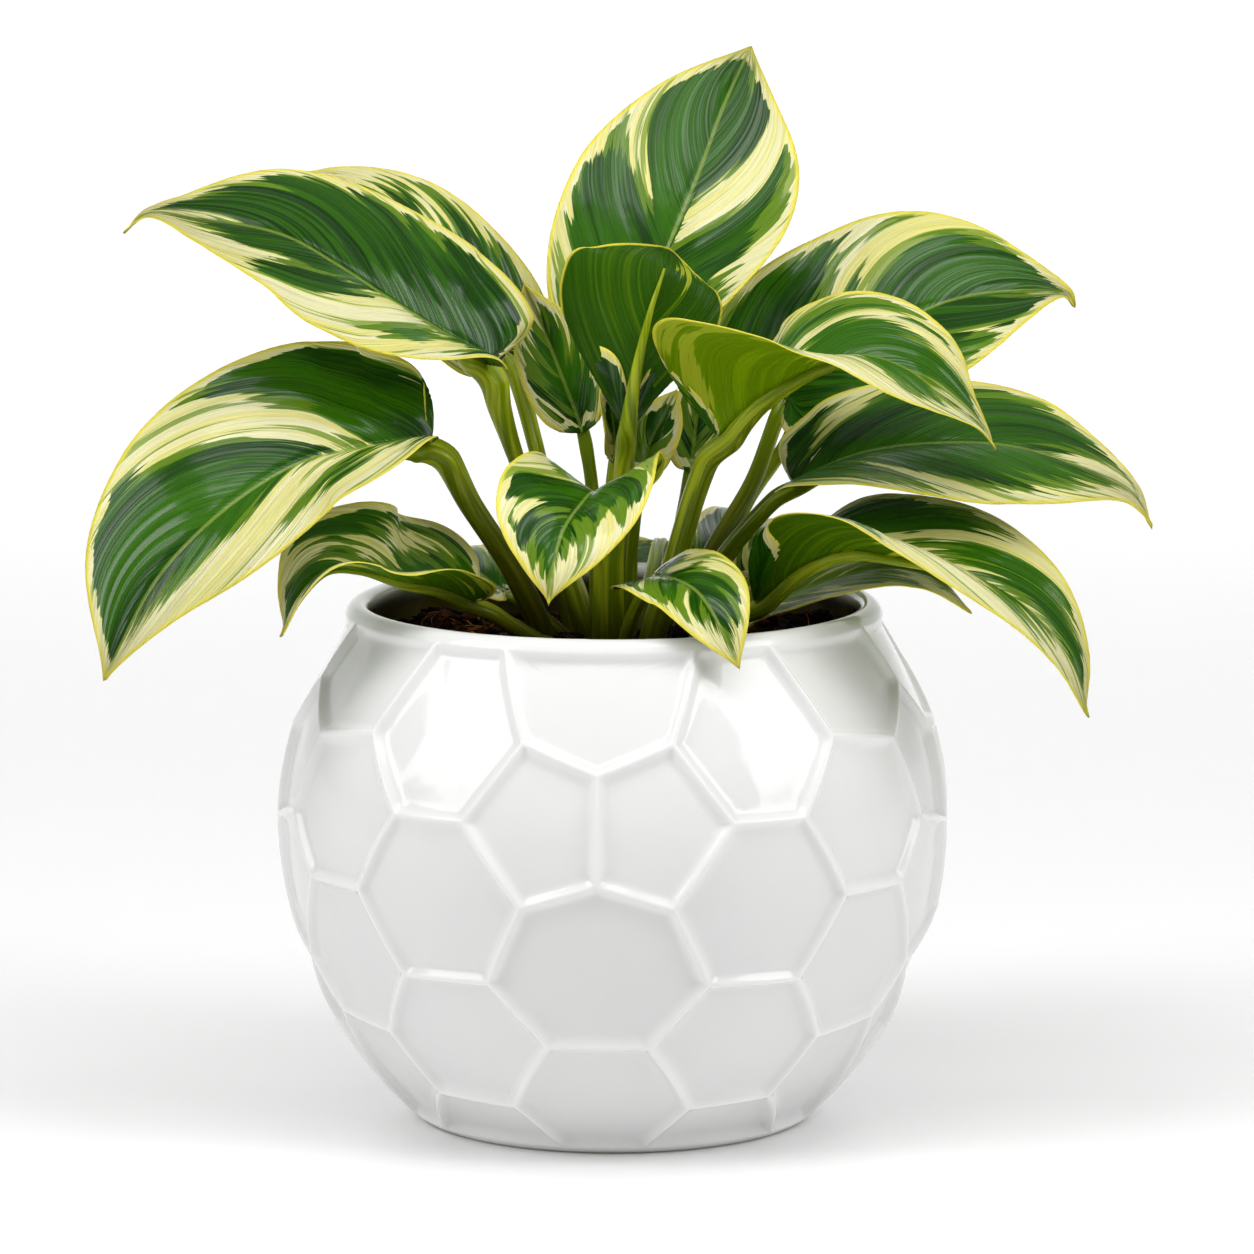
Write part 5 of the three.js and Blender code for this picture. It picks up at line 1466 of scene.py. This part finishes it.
class POTHOS_PG_leaves(bpy.types.PropertyGroup):
    blade_thickness: length_setting("Blade thickness", "Thickness of a blade at the rib", 0.5)
    vein_relief: length_setting("Vein relief", "Depth of the furrows at the side veins", 0.2)
    deep_green: colour_setting("Deep green", "Lines between the side veins", (10, 44, 2))
    dark_green: colour_setting("Dark green", "Darker part of a blade", (24, 68, 2))
    mid_green: colour_setting("Mid green", "Usual green of a blade", (54, 110, 2))
    light_green: colour_setting("Light green", "Green fingers inside the cream", (122, 156, 30))
    lime: colour_setting("Lime", "Fine streaks inside the cream", (196, 202, 78))
    sage: colour_setting("Sage", "Brighter patches beside the cream", (108, 144, 30))
    rib_green: colour_setting("Rib", "Pale line along the rib", (150, 176, 70))
    cream: colour_setting("Cream", "Palest patches", (246, 242, 190))
    straw: colour_setting("Straw", "Yellower patches", (240, 233, 140))
    edge_yellow: colour_setting("Edge", "Thin line round a blade", (250, 236, 80))
    under_green: colour_setting("Underside green", "Green of the underside", (44, 88, 0))
    under_light: colour_setting("Underside, light", "Where light comes through", (140, 176, 4))
    under_cream: colour_setting("Underside cream", "Patches of the underside", (186, 196, 50))
    petiole: colour_setting("Petiole", "Stalk", (112, 134, 4))
    petiole_light: colour_setting("Light petiole", "Streaks of the stalk", (170, 182, 34))
    petiole_base: colour_setting("Petiole base", "Stalk at the soil", (58, 46, 8))


class POTHOS_PG_stage(bpy.types.PropertyGroup):
    floor: colour_setting("Floor", "Floor and backdrop", (250, 250, 250))
    floor_shade: colour_setting("Floor shade", "Faint mottling of the floor", (247, 247, 247))
    floor_glow: colour_setting("Floor glow", "Light of the floor itself", (40, 40, 40))
    key: light_setting("Side lights", "Power of each side light", 8.6, "POWER")
    top: light_setting("Top light", "Power of the top light", 10.2, "POWER")
    sky: light_setting("Room light", "Strength of the even light", 0.3)
    wall_glow: light_setting("Wall glow", "Strength of the lit wall", 0.47)


class POTHOS_OT_pot(bpy.types.Operator):
    """Builds the glazed pot with its net of ridges"""

    bl_idname = "pothos.pot"
    bl_label = "Pot"

    def execute(self, context):
        look = context.scene.pothos_pot
        points, faces, sunk = pot_mesh(look)
        x, y, z = points.T
        # Where painted shade and reflection go on the inner wall: its upper part, fading out under
        # the rim.
        inside = smooth(60, 70, z) * (1 - smooth(58.8, 59.6, np.hypot(x, y)))
        stained = inside * (1 - smooth(110.5, 114, z))
        values = {"sunk": sunk, "high": z * MM, "stained": stained}
        make_object("glazed_pot", points, faces, "glaze", glaze_material(look), ["pot"], values)
        return {"FINISHED"}


class POTHOS_OT_soil(bpy.types.Operator):
    """Builds the potting mix with its crumbs and coir fibres"""

    bl_idname = "pothos.soil"
    bl_label = "Soil"

    def execute(self, context):
        look = context.scene.pothos_soil
        mix = soil_material(look)
        points, faces = soil_mesh()
        bare = {"shade": np.zeros(len(points))}
        make_object("mix_surface", points, faces, "soil", mix, ["soil"], bare)
        points, faces, shade = crumb_mesh(look.crumbs)
        make_object("mix_crumbs", points, faces, "soil", mix, (), {"shade": 0.1 + 0.9 * shade})
        points, faces, shade = fibre_mesh(look.fibres)
        coir = fibre_material(look)
        make_object("coir_fibres", points, faces, "soil", coir, (), {"shade": shade})
        return {"FINISHED"}


class POTHOS_OT_leaves(bpy.types.Operator):
    """Grows every leaf with its petiole"""

    bl_idname = "pothos.leaves"
    bl_label = "Leaves"

    def execute(self, context):
        look = context.scene.pothos_leaves
        material = leaf_material(look)
        for seed, name in enumerate(LEAVES, 1):
            build_leaf(name, look, material, seed)
        return {"FINISHED"}


# Metres: the floor's profile from front to back, and the quarter round up into the wall.
FLOOR_LINE = [(-4.0, 0.0), (-1.0, 0.0), (0.6, 0.0), (1.6, 0.0)]
WALL_BEND = 1.4
WALL_TOP = (3.0, 4.5)
FLOOR_SIDE = 4

# Metres: where the soft lights point, and each one's place, its size and the setting of its power.
AIM = (0, 0, 0.12)
SOFTBOXES = {
    "left_softbox": ((-1.15, -0.55, 0.95), (0.62, 0.95), "key"),
    "right_softbox": ((1.15, -0.55, 0.95), (0.62, 0.95), "key"),
    "top_softbox": ((0, -0.45, 1.5), (1.3, 0.7), "top"),
}

# The camera's place in metres, its degrees down from level, its lens and sensor in millimetres,
# and how many metres it sees.
CAMERA_PLACE = (0.0029, -1.5287, 0.349)
CAMERA_DROP = 8.9
LENS, SENSOR = 200, 36
FURTHEST = 20


def add_backdrop(look):
    """A floor that curves up into a wall behind."""
    bend = np.linspace(0, math.pi / 2, 17)[1:]
    start = FLOOR_LINE[-1][0]
    profile = FLOOR_LINE + [
        (start + WALL_BEND * math.sin(b), WALL_BEND - WALL_BEND * math.cos(b)) for b in bend]
    profile.append(WALL_TOP)
    xs = np.linspace(-FLOOR_SIDE, FLOOR_SIDE, 9)
    points = np.array([(x, y, z) for y, z in profile for x in xs]) / MM
    faces = strip_faces(len(profile), len(xs), False)
    paper = make_object("studio_floor", points, faces, None, backdrop_material(look))


def add_light(name, place, size, power):
    """A soft box that looks at the plant."""
    light = bpy.data.lights.new(name, "AREA")
    light.shape = "RECTANGLE"
    light.size, light.size_y = size
    light.energy = power
    holder = bpy.data.objects.new(name, light)
    holder.location = place
    x, y, z = np.array(AIM) - np.array(place)
    holder.rotation_euler = (math.atan2(math.hypot(x, y), -z), 0, math.atan2(-x, y))
    bpy.context.scene.collection.objects.link(holder)


def add_camera():
    """A long lens a little above the pot, in front of it."""
    lens = bpy.data.cameras.new("photo_view")
    lens.lens, lens.sensor_width = LENS, SENSOR
    lens.clip_end = FURTHEST
    camera = bpy.data.objects.new("photo_view", lens)
    camera.location = CAMERA_PLACE
    camera.rotation_euler = (math.radians(90 - CAMERA_DROP), 0, 0)
    bpy.context.scene.collection.objects.link(camera)
    bpy.context.scene.camera = camera


class POTHOS_OT_stage(bpy.types.Operator):
    """Sets the pale floor, the soft lights and the camera"""

    bl_idname = "pothos.stage"
    bl_label = "Studio"

    def execute(self, context):
        look = context.scene.pothos_stage
        add_backdrop(look)
        world = bpy.data.worlds.new("soft_room")
        world.use_nodes = True
        room = world.node_tree.nodes["Background"].inputs
        room["Color"].default_value = (1, 1, 1, 1)
        room["Strength"].default_value = look.sky
        context.scene.world = world
        for name, (place, size, setting) in SOFTBOXES.items():
            add_light(name, place, size, getattr(look, setting))
        add_camera()
        context.scene.view_settings.view_transform = "Standard"
        return {"FINISHED"}


class POTHOS_PT_panel(bpy.types.Panel):
    """Lists the operators and, under them, every setting"""

    bl_label = "Potted pothos"
    bl_idname = "POTHOS_PT_panel"
    bl_space_type = "VIEW_3D"
    bl_region_type = "UI"
    bl_category = "Pothos"

    def draw(self, context):
        for operator in OPERATORS:
            self.layout.operator(operator.bl_idname)
        for name, group in GROUPS.items():
            box = self.layout.box()
            box.label(text=name.replace("pothos_", "").capitalize())
            for key in group.__annotations__:
                box.prop(getattr(context.scene, name), key)


OPERATORS = (POTHOS_OT_pot, POTHOS_OT_soil, POTHOS_OT_leaves, POTHOS_OT_stage)
GROUPS = {
    "pothos_pot": POTHOS_PG_pot,
    "pothos_soil": POTHOS_PG_soil,
    "pothos_leaves": POTHOS_PG_leaves,
    "pothos_stage": POTHOS_PG_stage,
}


def register():
    """Makes the settings, the operators and the panel known to Blender."""
    for cls in (*GROUPS.values(), *OPERATORS, POTHOS_PT_panel):
        bpy.utils.register_class(cls)
    for name, group in GROUPS.items():
        setattr(bpy.types.Scene, name, bpy.props.PointerProperty(type=group))


def unregister():
    """Takes them all out again."""
    for name in GROUPS:
        delattr(bpy.types.Scene, name)
    for cls in (POTHOS_PT_panel, *reversed(OPERATORS), *reversed(GROUPS.values())):
        bpy.utils.unregister_class(cls)


def main():
    """Builds every piece and the stage."""
    register()
    bpy.ops.pothos.pot()
    bpy.ops.pothos.soil()
    bpy.ops.pothos.leaves()
    bpy.ops.pothos.stage()


if __name__ == "__main__":
    main()
